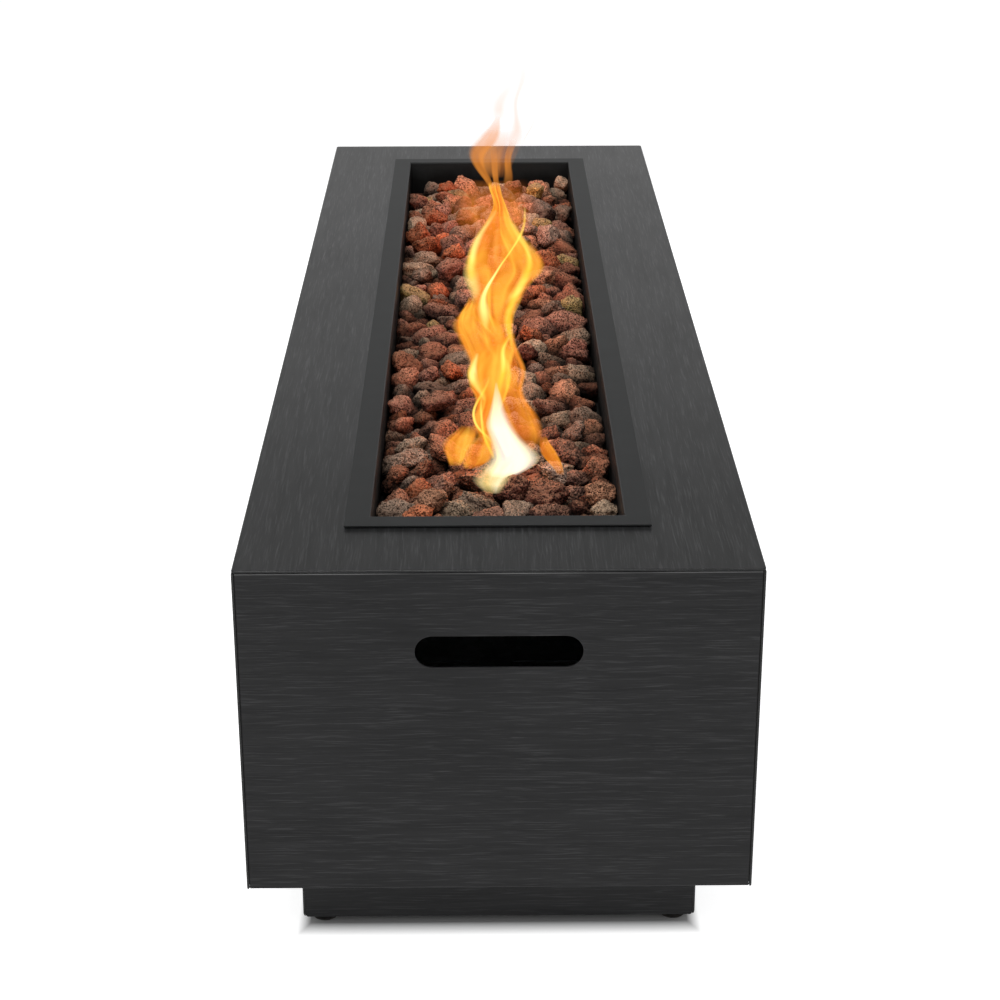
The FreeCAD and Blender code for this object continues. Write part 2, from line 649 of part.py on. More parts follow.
def make_plinth_end(node, end):
    fold_x = f"{PLINTH_X} - fit_gap"
    floor = ("foot_gap", "foot_gap + plinth_sheet")
    web = block(node + "_web", middle(f"{fold_x} - plinth_sheet"),
                span(end, f"{PLINTH_Y} - plinth_sheet", PLINTH_Y), ("foot_gap", LIP_TOP))
    shaped = rounded(node + "_shaped", web, "plinth_bend - panel_bend",
                     lambda edge: runs(edge, "y") and at(edge, z="foot_gap"))
    top_flange = block(node + "_top", middle(f"{fold_x} - plinth_top_flange"),
                       span(end, f"{PLINTH_Y} - plinth_top_flange", PLINTH_Y),
                       (f"{LIP_TOP} - plinth_sheet", LIP_TOP))
    low_flange = block(node + "_low", middle(f"{fold_x} - foot_flange"),
                       span(end, f"{PLINTH_Y} - foot_flange", PLINTH_Y), floor)
    folded = fuse(node + "_folded", [shaped, top_flange, low_flange])
    line = signed(end, f"{PLINTH_Y} - plinth_screw_inset")
    drilled = [spot for spot in plinth_screw_spots() if spot[1] == line]
    cutters = holes(node + "_hole", drilled, HOLE, (f"{LIP_TOP} - plinth_sheet", LIP_TOP))
    if end > 0:
        cutters.append(block(node + "_notch", middle("hose_notch_width / 2"),
                             (f"{PLINTH_Y} - foot_flange", PLINTH_Y),
                             ("foot_gap", "foot_gap + hose_notch_height")))
    keep(cut(node + "_cut", folded, cutters), node)


# Screw feet: a rubber pad that the stem turns in, and a nut welded on the plinth's flange.
FOOT_X = f"({PLINTH_X} - foot_inset)"
FOOT_Y = f"({PLINTH_Y} - foot_inset)"
PAD_RADIUS = "(pad_diameter / 2)"
PAD_HUB_RADIUS = "(pad_diameter / 3)"
STEM_RADIUS = "(stem_diameter / 2)"


def make_foot(word, side, end):
    spot = (signed(side, FOOT_X), signed(end, FOOT_Y))
    pad_body = start_body("pad_" + word)
    sketch = start_sketch(pad_body, f"pad_{word}_section", "XZ_Plane")
    socket = f"{STEM_RADIUS} + fit_gap"
    outline(sketch, [("0", "0"), (f"{PAD_RADIUS} - pad_rim / 6", "0"), (PAD_RADIUS, "pad_rim / 6"),
                     (PAD_RADIUS, "pad_rim / 2"), (PAD_HUB_RADIUS, "pad_rim"), (PAD_HUB_RADIUS, "pad_hub"),
                     (socket, "pad_hub"), (socket, "pad_socket"), ("0", "pad_socket")])
    turn(pad_body, sketch, "V_Axis")
    for axis, place in zip("xy", spot):
        pad_body.setExpression(f"Placement.Base.{axis}", formula(place))
    keep(pad_body, "foot_pad_" + word)
    start = "(pad_socket + fit_gap)"
    shaft = rod(f"stem_{word}_shaft", "z", STEM_RADIUS, spot, (start, f"{start} + stem_length"))
    collar = rod(f"stem_{word}_collar", "z", "stem_diameter * 0.85", spot,
                 ("pad_hub + fit_gap", "pad_hub + fit_gap + stem_collar"))
    keep(fuse(f"stem_{word}", [shaft, collar]), "foot_stem_" + word)
    nut_reach = ("foot_gap + plinth_sheet", "foot_gap + plinth_sheet + nut_height")
    nut = hexagon(f"nut_{word}", "z", "nut_flats", spot, nut_reach)
    bore = rod(f"nut_{word}_bore", "z", f"{STEM_RADIUS} + running_gap", spot, nut_reach)
    return cut(f"nut_{word}_bored", nut, [bore])


def make_feet():
    nuts = []
    for side, across in ((-1, "left"), (1, "right")):
        for end, along in ((-1, "near"), (1, "far")):
            nuts.append(make_foot(f"{along}_{across}", side, end))
    keep(group("four_nuts", nuts), "foot_weld_nuts")


# Pan: a tray with a trough along its floor, hung by its flange on a gasket on the deck.
FLANGE_UNDER = f"({DECK_TOP} + gasket_thick)"
FLANGE_TOP = f"({FLANGE_UNDER} + pan_sheet)"
BEZEL_X = f"({CASE_X} - bezel_margin)"
BEZEL_Y = f"({CASE_Y} - bezel_margin)"
PAN_FLOOR = f"({DECK_TOP} - pan_depth)"
TROUGH_FLOOR = f"({PAN_FLOOR} - trough_depth)"
TROUGH_X = "(trough_width / 2)"
TROUGH_Y = f"({OPEN_Y} - trough_margin)"
MIXER_Y = f"({CASE_Y} - mixer_from_end)"
ELECTRODE_Y = f"({MIXER_Y} - electrode_spacing)"
MIXER_HOLE = "(mixer_diameter / 2 + mixer_gap)"


def make_pan():
    flange = block("pan_flange", middle(BEZEL_X), middle(BEZEL_Y), (FLANGE_UNDER, FLANGE_TOP))
    tray = block("pan_tray", middle(f"{OPEN_X} + pan_sheet"), middle(f"{OPEN_Y} + pan_sheet"),
                 (f"{PAN_FLOOR} - pan_sheet", FLANGE_TOP))
    trough = block("pan_trough", middle(f"{TROUGH_X} + pan_sheet"), middle(f"{TROUGH_Y} + pan_sheet"),
                   (f"{TROUGH_FLOOR} - pan_sheet", PAN_FLOOR))
    cavity = block("pan_cavity", middle(OPEN_X), middle(OPEN_Y), (PAN_FLOOR, FLANGE_TOP))
    channel = block("pan_channel", middle(TROUGH_X), middle(TROUGH_Y), (TROUGH_FLOOR, FLANGE_TOP))
    room = fuse("pan_room", [cavity, channel])
    pressed = cut("pan_pressed", fuse("pan_folded", [flange, tray, trough]), [room])
    floor = (f"{TROUGH_FLOOR} - pan_sheet", TROUGH_FLOOR)
    holes_below = [rod("pan_mixer_hole", "z", MIXER_HOLE, ("0", MIXER_Y), floor)]
    for side in (-1, 1):
        holes_below.append(rod(f"pan_sensor_hole_{side}", "z", "ceramic_diameter / 2 + fit_gap",
                               (signed(side, "electrode_spread"), ELECTRODE_Y), floor))
    pierced = cut("pan_pierced", pressed, holes_below)

    def inner_rim(edge):
        centre = edge.CenterOfMass
        if abs(centre.z - number(FLANGE_TOP)) > 0.01:
            return False
        return abs(centre.x) < number(OPEN_X) + 0.01 and abs(centre.y) < number(OPEN_Y) + 0.01

    keep(rounded("pan_rounded", pierced, "pan_bend", inner_rim), "burner_pan")
    gasket = start_body("gasket")
    sketch = start_sketch(gasket, "gasket_outline", "XY_Plane", DECK_TOP)
    outline(sketch, rectangle(middle(f"{BEZEL_X} - gasket_inset"), middle(f"{BEZEL_Y} - gasket_inset")))
    outline(sketch, rectangle(middle(f"{CUT_X} + gasket_gap"), middle(f"{CUT_Y} + gasket_gap")))
    pad(gasket, sketch, "gasket_thick")
    keep(gasket, "pan_gasket")


# Burner: a straight tube on three saddles, plugged at both ends, with flame ports along its top.
BURNER_RADIUS = "(burner_diameter / 2)"
BURNER_Z = f"({TROUGH_FLOOR} + burner_standoff + {BURNER_RADIUS})"
BURNER_Y = f"({TROUGH_Y} - burner_margin)"
BURNER_BORE = f"({BURNER_RADIUS} - burner_wall)"


def make_burner():
    tube = rod("burner_outside", "y", BURNER_RADIUS, ("0", BURNER_Z), middle(BURNER_Y))
    bore = rod("burner_inside", "y", BURNER_BORE, ("0", BURNER_Z), middle(BURNER_Y))
    first = f"(port_margin - {BURNER_Y})"
    ports = int((number(BURNER_Y) * 2 - number("port_margin") * 2) / number("port_pitch")) + 1
    cutters = [rod(f"port_{step}", "z", "port_diameter / 2", ("0", f"{first} + {step} * port_pitch"),
                   (BURNER_Z, f"{BURNER_Z} + burner_diameter")) for step in range(ports)]
    cutters.append(rod("burner_entry", "z", MIXER_HOLE, ("0", MIXER_Y), (TROUGH_FLOOR, BURNER_Z)))
    hollow = cut("burner_hollow", tube, [bore])
    keep(cut("burner_pierced", hollow, cutters), "burner_tube")
    plugs = [rod(f"plug_{end}", "y", f"{BURNER_BORE} - screw_gap / 2", ("0", BURNER_Z),
                 span(end, f"{BURNER_Y} - plug_length", BURNER_Y)) for end in (-1, 1)]
    keep(group("two_plugs", plugs), "burner_end_plugs")
    last = f"({ELECTRODE_Y} - saddle_spacing)"
    side_gap = f"({BURNER_RADIUS} + fit_gap)"
    saddles = []
    for index, place in enumerate((f"-{last}", "0", last)):
        stretch = about(place, "saddle_length / 2")
        outside = block(f"saddle_{index}_block", middle(f"{side_gap} + burner_standoff"), stretch,
                        (TROUGH_FLOOR, BURNER_Z))
        inside = block(f"saddle_{index}_room", middle(side_gap), stretch,
                       (f"{TROUGH_FLOOR} + burner_standoff", BURNER_Z))
        saddles.append(cut(f"saddle_{index}", outside, [inside]))
    keep(group("three_saddles", saddles), "burner_saddles")


# Gas mixer: a tube with air windows from the jet up into the burner, held by a locknut.
MIXER_BOTTOM = f"({TROUGH_FLOOR} - mixer_length)"
TROUGH_UNDER = f"({TROUGH_FLOOR} - pan_sheet)"
JET_BOTTOM = f"({MIXER_BOTTOM} - jet_hex_height)"


def make_mixer():
    spot = ("0", MIXER_Y)
    top = f"({BURNER_Z} - mixer_entry)"
    tube = rod("mixer_outside", "z", "mixer_diameter / 2", spot, (MIXER_BOTTOM, top))
    collar = rod("mixer_collar", "z", f"{MIXER_HOLE} + burner_standoff", spot,
                 (TROUGH_FLOOR, f"{TROUGH_FLOOR} + burner_standoff / 2"))
    bore = rod("mixer_inside", "z", "mixer_bore / 2", spot, (MIXER_BOTTOM, top))
    window = block("mixer_window", middle("mixer_diameter"), about(MIXER_Y, "air_window_width / 2"),
                   about(f"{MIXER_BOTTOM} + mixer_bore * 2", "air_window_height / 2"))
    keep(cut("mixer_cut", fuse("mixer_raw", [tube, collar]), [bore, window]), "gas_mixer")
    jet_top = f"({MIXER_BOTTOM} + jet_seat)"
    hexed = hexagon("jet_hexagon", "z", "jet_hex", spot, (JET_BOTTOM, MIXER_BOTTOM))
    neck = rod("jet_neck", "z", "mixer_bore / 2 - screw_gap / 2", spot, (MIXER_BOTTOM, jet_top))
    drilled = rod("jet_way", "z", "port_diameter / 3", spot, (JET_BOTTOM, jet_top))
    keep(cut("jet_cut", fuse("jet_raw", [hexed, neck]), [drilled]), "gas_orifice")
    reach = (f"{TROUGH_UNDER} - locknut_height", TROUGH_UNDER)
    nut = hexagon("mixer_nut", "z", "mixer_diameter * 1.5", spot, reach)
    return cut("mixer_locknut", nut, [rod("mixer_nut_bore", "z", MIXER_HOLE, spot, reach)])


# Spark electrode and thermocouple: they stand on a bracket in the trough, either side of the burner.
SENSOR_BOTTOM = f"({TROUGH_UNDER} - shield_height / 3)"
PROBE_BOTTOM = f"({TROUGH_UNDER} - shoulder_diameter)"


def make_sensors():
    top_of_bracket = f"({TROUGH_FLOOR} + bracket_sheet)"
    plate = block("bracket_plate", middle(f"{TROUGH_X} - screw_gap * 5"),
                  about(ELECTRODE_Y, "shoulder_diameter * 0.8"), (TROUGH_FLOOR, top_of_bracket))
    cutters = [rod(f"bracket_hole_{side}", "z", "ceramic_diameter / 2 + fit_gap",
                   (signed(side, "electrode_spread"), ELECTRODE_Y), (TROUGH_FLOOR, top_of_bracket))
               for side in (-1, 1)]
    keep(cut("bracket_drilled", plate, cutters), "sensor_bracket")
    shoulder = (top_of_bracket, f"{top_of_bracket} + shoulder_diameter / 2")
    spot = ("electrode_spread", ELECTRODE_Y)
    ceramic_top = f"({BURNER_Z} + mixer_gap * 8)"
    ceramic = rod("ceramic_rod", "z", "ceramic_diameter / 2", spot, (SENSOR_BOTTOM, ceramic_top))
    seat = rod("ceramic_shoulder", "z", "shoulder_diameter / 2", spot, shoulder)
    keep(fuse("ceramic_body", [ceramic, seat]), "igniter_electrode")
    wire_top = f"({PAN_FLOOR} - wire_diameter)"
    make_lead("electrode_wire", "wire_diameter", [
        place(*spot, ceramic_top), place(*spot, wire_top),
        place(f"{BURNER_RADIUS} + spark_gap / 2", ELECTRODE_Y, wire_top)])
    spot = ("-electrode_spread", ELECTRODE_Y)
    probe = rod("probe_rod", "z", "probe_diameter / 2", spot, (PROBE_BOTTOM, wire_top))
    nut = rod("probe_shoulder", "z", "shoulder_diameter / 2", spot, shoulder)
    keep(fuse("probe_body", [probe, nut]), "thermocouple_probe")


# Heat shield: a folded tray that hangs under the stiffeners, between the pan and the controls.
def make_shield():
    bottom = f"({RAIL_UNDER} - shield_height)"
    half = "(shield_width / 2)"
    stretch = middle(f"{CASE_Y} - shield_margin")
    folds = [block("shield_floor", middle(half), stretch, (bottom, f"{bottom} + shield_sheet"))]
    for side in (-1, 1):
        folds.append(block(f"shield_wall_{side}", span(side, f"{half} - shield_sheet", half), stretch,
                           (bottom, RAIL_UNDER)))
        folds.append(block(f"shield_flange_{side}", span(side, f"{CUT_X} + stiffener_gap", half), stretch,
                           (f"{RAIL_UNDER} - shield_sheet", RAIL_UNDER)))
    floor = (bottom, f"{bottom} + shield_sheet")
    cutters = [rod("shield_mixer_hole", "z", "mixer_diameter * 1.2", ("0", MIXER_Y), floor)]
    for side in (-1, 1):
        cutters.append(rod(f"shield_lead_hole_{side}", "z", "shoulder_diameter",
                           (signed(side, "electrode_spread"), ELECTRODE_Y), floor))
    keep(cut("shield_cut", fuse("shield_folded", folds), cutters), "heat_shield")


# Niche: a flanged surround behind the side panel, and welded to its rear edge the plate that
# carries the valve and the igniter.
PLATE_REAR = f"({INSIDE_X} - recess_depth)"
PLATE_FRONT = f"({PLATE_REAR} + recess_sheet)"
KNOB_SPOT = (f"({CONTROL_Y} + knob_offset)", CONTROL_Z)
IGNITER_SPOT = (f"({CONTROL_Y} - igniter_offset)", CONTROL_Z)
SHAFT_HOLE = "(shaft_diameter / 2 + screw_gap * 3)"
VALVE_SCREW_OFFSET = "(valve_cavity / 2 + small_screw * 1.4)"


def valve_screw_spots():
    """Where the two valve screws stand, as pairs of formulas for Y and Z."""
    return [(f"{KNOB_SPOT[0]} + {way} * {VALVE_SCREW_OFFSET}", CONTROL_Z) for way in (-1, 1)]


def make_recess():
    box = niche_block("niche_outside", (PLATE_FRONT, INSIDE_X), "recess_sheet")
    flange_reach = (f"{INSIDE_X} - recess_sheet", INSIDE_X)
    flange = niche_block("niche_flange", flange_reach, "recess_flange")
    cutters = [niche_block("niche_room", (PLATE_FRONT, INSIDE_X), "0")]
    for index, spot in enumerate(niche_screw_spots()):
        cutters.append(rod(f"niche_screw_hole_{index}", "x", "small_screw / 2 + screw_gap", spot,
                           flange_reach))
    keep(cut("niche_cut", fuse("niche_folded", [box, flange]), cutters), "control_recess")
    reach = (PLATE_REAR, PLATE_FRONT)
    plate = niche_block("plate_blank", reach, "recess_sheet")
    cutters = [rod("plate_shaft_hole", "x", SHAFT_HOLE, KNOB_SPOT, reach),
               rod("plate_igniter_hole", "x", "igniter_barrel / 2 + fit_gap", IGNITER_SPOT, reach)]
    for index, spot in enumerate(valve_screw_spots()):
        cutters.append(rod(f"plate_valve_hole_{index}", "x", "small_screw / 2 + screw_gap", spot, reach))
    keep(cut("plate_drilled", plate, cutters), "control_plate")


# Valve: a brass block behind the plate, with a spring chamber and a port for the hose each way.
VALVE_MIDDLE = f"({PLATE_REAR} - valve_depth / 2)"
CHAMBER_FLOOR = f"({PLATE_REAR} - cavity_depth)"
COLLAR_FRONT = f"({PLATE_REAR} - fit_gap)"
COLLAR_REAR = f"({COLLAR_FRONT} - collar_thick)"
WASHER_FRONT = f"({COLLAR_REAR} - screw_gap)"
WASHER_REAR = f"({WASHER_FRONT} - washer_thick)"
SHAFT_RADIUS = "(shaft_diameter / 2)"
KNOB_REAR = f"({PLATE_FRONT} + knob_gap)"
KNOB_FRONT = f"({KNOB_REAR} + knob_length)"
SHAFT_FRONT = f"({KNOB_FRONT} - knob_skirt)"
FLATTED = "(shaft_diameter * 0.22)"


def make_valve():
    spot = KNOB_SPOT
    body = block("valve_block", (f"{PLATE_REAR} - valve_depth", PLATE_REAR),
                 about(spot[0], "valve_width / 2"), about(spot[1], "valve_height / 2"))
    inlet = rod("valve_inlet", "y", "port_boss / 2", (VALVE_MIDDLE, spot[1]),
                (f"{spot[0]} + valve_width / 2", f"{spot[0]} + valve_width / 2 + port_reach"))
    outlet = rod("valve_outlet", "z", "port_boss / 2", (VALVE_MIDDLE, spot[0]),
                 (f"{spot[1]} - valve_height / 2 - port_reach", f"{spot[1]} - valve_height / 2"))
    cutters = [rod("valve_chamber", "x", "valve_cavity / 2", spot, (CHAMBER_FLOOR, PLATE_REAR)),
               rod("valve_guide", "x", f"{SHAFT_RADIUS} + running_gap", spot,
                   (f"{CHAMBER_FLOOR} - stem_guide", CHAMBER_FLOOR))]
    for index, place in enumerate(valve_screw_spots()):
        cutters.append(rod(f"valve_screw_hole_{index}", "x", "small_screw / 2 + screw_gap", place,
                           (f"{PLATE_REAR} - screw_length", PLATE_REAR)))
    keep(cut("valve_bored", fuse("valve_raw", [body, inlet, outlet]), cutters), "valve_body")


def shaft_section(name, radius, reach):
    """A round bar with a flat along it, for the end of the shaft and the bore of the knob."""
    flat = f"({FLATTED} + {radius} - {SHAFT_RADIUS})"
    bar = rod(name + "_round", "x", radius, KNOB_SPOT, reach)
    shorn = block(name + "_flat", reach, about(KNOB_SPOT[0], radius),
                  (f"{KNOB_SPOT[1]} + {flat}", f"{KNOB_SPOT[1]} + {radius} * 2"))
    return cut(name, bar, [shorn])


def make_knob():
    rear = f"({CHAMBER_FLOOR} - stem_guide + knob_travel + recess_sheet)"
    full = rod("shaft_full", "x", SHAFT_RADIUS, KNOB_SPOT, (rear, KNOB_REAR))
    flatted = shaft_section("shaft_end", SHAFT_RADIUS, (KNOB_REAR, SHAFT_FRONT))
    collar = rod("shaft_collar", "x", "collar_diameter / 2", KNOB_SPOT, (COLLAR_REAR, COLLAR_FRONT))
    keep(fuse("shaft_raw", [full, flatted, collar]), "valve_stem")
    washer = rod("washer_disc", "x", "washer_diameter / 2", KNOB_SPOT, (WASHER_REAR, WASHER_FRONT))
    hole = rod("washer_hole", "x", f"{SHAFT_RADIUS} + running_gap", KNOB_SPOT, (WASHER_REAR, WASHER_FRONT))
    keep(cut("washer_cut", washer, [hole]), "thrust_washer")
    body = start_body("knob_turned")
    sketch = start_sketch(body, "knob_section", "XY_Plane")
    outline(sketch, [("0", "0"), ("0", "knob_diameter / 2"), ("knob_skirt / 2", "knob_diameter / 2"),
                     ("knob_skirt", "knob_grip / 2 + knob_skirt / 4"), ("knob_skirt * 1.5", "knob_grip / 2"),
                     ("knob_length - knob_skirt / 2", "knob_tip / 2"),
                     ("knob_length", "knob_tip / 2 - knob_skirt / 2"), ("knob_length", "0")])
    turn(body, sketch, "H_Axis")
    for axis, place in zip("xyz", (KNOB_REAR,) + KNOB_SPOT):
        body.setExpression(f"Placement.Base.{axis}", formula(place))
    cutters = [shaft_section("knob_bore", f"({SHAFT_RADIUS} + screw_gap / 2)", (KNOB_REAR, SHAFT_FRONT))]
    flutes = 12
    for step in range(flutes):
        turned = (step + 0.5) * 360 / flutes
        out = "(knob_grip / 2 + flute_diameter / 4)"
        spot = (f"{KNOB_SPOT[0]} + {out} * cos({turned})", f"{KNOB_SPOT[1]} + {out} * sin({turned})")
        cutters.append(rod(f"flute_{step}", "x", "flute_diameter / 2", spot,
                           (f"{KNOB_REAR} + knob_skirt * 1.6", KNOB_FRONT)))
    fluted = cut("knob_fluted", body, cutters)
    pointer = block("knob_pointer", (f"{KNOB_FRONT} - knob_skirt", f"{KNOB_FRONT} + knob_skirt / 4"),
                    about(KNOB_SPOT[0], "knob_skirt / 4"),
                    (f"{KNOB_SPOT[1]} + knob_tip / 5", f"{KNOB_SPOT[1]} + knob_tip / 2 - knob_skirt / 4"))
    keep(fuse("knob_whole", [fluted, pointer]), "control_knob")


def make_spring(node, spot, reach, wire, coil, turns):
    """A round-wire spring along X between two faces, with a hair of room at each end.

    Each quarter turn is two arcs that meet its ends along the wire's own direction.
    """
    wire_radius, coil_radius = number(wire) / 2, number(coil) / 2
    low = number(reach[0]) + wire_radius + number("screw_gap") / 2
    height = number(reach[1]) - number(reach[0]) - number(wire) - number("screw_gap")
    climb = height / turns / 4
    spots, ways = [], []
    for quarter in range(turns * 4 + 1):
        turned = math.pi / 2 * quarter
        spots.append(Vector(coil_radius * math.cos(turned), coil_radius * math.sin(turned), climb * quarter))
        rising = climb * 2 / math.pi / coil_radius
        ways.append(Vector(-math.sin(turned), math.cos(turned), rising).normalize())
    edges = []
    for start, end, leaving, coming in zip(spots, spots[1:], ways, ways[1:]):
        apart, both = end - start, leaving + coming
        square = 2 - 2 * leaving.dot(coming)
        along = apart.dot(both)
        reach_out = (math.sqrt(along ** 2 + square * apart.dot(apart)) - along) / square
        first, second = start + leaving * reach_out, end - coming * reach_out
        meeting = (first + second) / 2
        edges += [bend(start, first, meeting)[0], bend(meeting, second, end)[0]]
    section = Part.Wire(Part.makeCircle(wire_radius, spots[0], ways[0]))
    made = doc.addObject("Part::Feature", node + "_wound")
    made.Shape = Part.Wire(edges).makePipeShell([section], True, False)
    made.Placement = Placement(Vector(low, number(spot[0]), number(spot[1])), ALONG["x"])
    print(node, "gap from turn to turn", round(height / turns - wire_radius * 2, 2))
    keep(made, node)


# Igniter: a barrel with a battery behind the plate, and a sprung button in its rim.
RIM_FRONT = f"({PLATE_FRONT} + rim_thick)"
BARREL_REAR = f"({PLATE_FRONT} - igniter_length)"
BATTERY_REAR = f"({BARREL_REAR} + igniter_end + screw_gap)"
BATTERY_FRONT = f"({BATTERY_REAR} + battery_length)"
BUTTON_FRONT = f"({RIM_FRONT} + button_proud)"
BUTTON_REAR = f"({BUTTON_FRONT} - button_length)"


def make_igniter():
    spot = IGNITER_SPOT
    barrel = rod("barrel_outside", "x", "igniter_barrel / 2", spot, (BARREL_REAR, PLATE_FRONT))
    rim = rod("barrel_rim", "x", "igniter_rim / 2", spot, (PLATE_FRONT, RIM_FRONT))
    bore = rod("barrel_bore", "x", "igniter_bore / 2", spot, (f"{BARREL_REAR} + igniter_end", RIM_FRONT))
    keep(cut("barrel_bored", fuse("barrel_raw", [barrel, rim]), [bore]), "igniter_housing")
    reach = (f"{PLATE_REAR} - locknut_height", PLATE_REAR)
    nut = hexagon("igniter_hexagon", "x", "igniter_rim", spot, reach)
    nut_bore = rod("igniter_nut_bore", "x", "igniter_barrel / 2 + screw_gap", spot, reach)
    keep(cut("igniter_nut_bored", nut, [nut_bore]), "igniter_nut")
    cell = rod("battery_can", "x", "battery_diameter / 2", spot,
               (BATTERY_REAR, f"{BATTERY_FRONT} - rim_thick / 2"))
    cap = rod("battery_cap", "x", "battery_diameter / 5", spot,
              (f"{BATTERY_FRONT} - rim_thick", BATTERY_FRONT))
    keep(fuse("battery_whole", [cell, cap]), "igniter_battery")
    body = start_body("button_turned")
    sketch = start_sketch(body, "button_section", "XY_Plane")
    edge = "(rim_thick / 2)"
    outline(sketch, [("0", "0"), ("0", "button_diameter / 2"),
                     (f"button_length - {edge}", "button_diameter / 2"),
                     ("button_length", f"button_diameter / 2 - {edge}"),
                     ("button_length", "button_diameter / 4"),
                     (f"button_length - {edge} / 2", "0")])
    turn(body, sketch, "H_Axis")
    for axis, place in zip("xyz", (BUTTON_REAR,) + spot):
        body.setExpression(f"Placement.Base.{axis}", formula(place))
    keep(body, "igniter_button")


# Gas inlet: a bulkhead fitting through the base panel, with its flare thread pointing down.
def make_inlet():
    spot = INLET_SPOT
    hex_low = f"({LIP_TOP} - inlet_hex_height)"
    low = f"({hex_low} - inlet_reach)"
    top = f"({LIP_TOP} + inlet_stub_height)"
    body = fuse("inlet_raw", [
        hexagon("inlet_hexagon", "z", "inlet_hex", spot, (hex_low, LIP_TOP)),
        rod("inlet_flare", "z", "inlet_thread / 2", spot, (low, hex_low)),
        rod("inlet_upper", "z", "inlet_stub / 2", spot, (LIP_TOP, top)),
    ])
    way = rod("inlet_way", "z", "inlet_bore / 2", spot, (low, top))
    keep(cut("inlet_bored", body, [way]), "gas_inlet")
    reach = (BASE_TOP, f"{BASE_TOP} + locknut_height")
    nut = hexagon("inlet_nut", "z", "inlet_hex", spot, reach)
    bore = rod("inlet_nut_bore", "z", "inlet_stub / 2 + screw_gap", spot, reach)
    return cut("inlet_locknut", nut, [bore])


# Hoses and leads inside the casing: round tubes on straight runs joined by tangent arcs.
def place(x, y, z):
    """A point from three formulas."""
    return Vector(number(x), number(y), number(z))


def make_lead(node, size, points):
    """One tube along points: each arc takes 0.45 of its shorter run, and its radius is printed."""
    radius = number(size) / 2
    edges, radii, length = [], [], 0
    last = points[0]
    for before, corner, after in zip(points, points[1:], points[2:]):
        into, out = (corner - before), (after - corner)
        reach = 0.45 * min(into.Length, out.Length)
        start = corner - Vector(into).normalize() * reach
        end = corner + Vector(out).normalize() * reach
        arc, arc_radius = bend(start, corner, end)
        edges += [Part.LineSegment(last, start).toShape(), arc]
        radii.append(arc_radius)
        length += last.distanceToPoint(start) + arc.Length
        last = end
    edges.append(Part.LineSegment(last, points[-1]).toShape())
    length += last.distanceToPoint(points[-1])
    first_way = (points[1] - points[0]).normalize()
    section = Part.Face(Part.Wire(Part.makeCircle(radius, points[0], first_way)))
    made = doc.addObject("Part::Feature", node + "_swept")
    made.Shape = Part.Wire(edges).makePipe(section)
    share = made.Shape.Volume / (math.pi * radius ** 2 * length)
    print(node, "length", round(length), "radii", [round(value) for value in radii],
          "volume share", round(share, 4))
    keep(made, node)


def make_leads():
    port = place(VALVE_MIDDLE, f"{KNOB_SPOT[0]} + valve_width / 2 + port_reach", CONTROL_Z)
    stub = place(*INLET_SPOT, f"{LIP_TOP} + inlet_stub_height")
    make_lead("supply_hose", "hose_diameter", [
        stub, stub + Vector(0, 0, number("hose_climb")),
        port + Vector(0, number("hose_swing"), 0), port])
    outlet = place(VALVE_MIDDLE, KNOB_SPOT[0], f"{CONTROL_Z} - valve_height / 2 - port_reach")
    jet = place("0", MIXER_Y, JET_BOTTOM)
    corners = [Vector(spot.x, spot.y, number(f"{BASE_TOP} + {height}")) for spot, height in (
        (outlet, "hose_turn"), ((outlet + jet) / 2, "hose_sag"), (jet, "hose_rise"))]
    make_lead("burner_hose", "hose_diameter", [outlet] + corners + [jet])
    barrel = place(BARREL_REAR, *IGNITER_SPOT)
    ceramic = place("electrode_spread", ELECTRODE_Y, SENSOR_BOTTOM)
    run = number("lead_run")
    make_lead("igniter_lead", "lead_diameter", [
        barrel, barrel - Vector(run, 0, 0), Vector(ceramic.x + run, ceramic.y + run / 2, barrel.z + run / 4),
        ceramic - Vector(0, 0, run), ceramic])
    rear = place(f"{PLATE_REAR} - valve_depth", KNOB_SPOT[0], f"{CONTROL_Z} + valve_height / 5")
    probe = place("-electrode_spread", ELECTRODE_Y, PROBE_BOTTOM)
    make_lead("thermocouple_lead", "capillary_diameter", [
        rear, rear - Vector(run * 1.5, 0, 0),
        Vector(probe.x + run * 2.6, probe.y + run * 0.8, rear.z + run / 2),
        Vector(probe.x + run * 1.1, probe.y - run / 2, rear.z + run * 0.75),
        probe - Vector(0, 0, run * 1.1), probe])


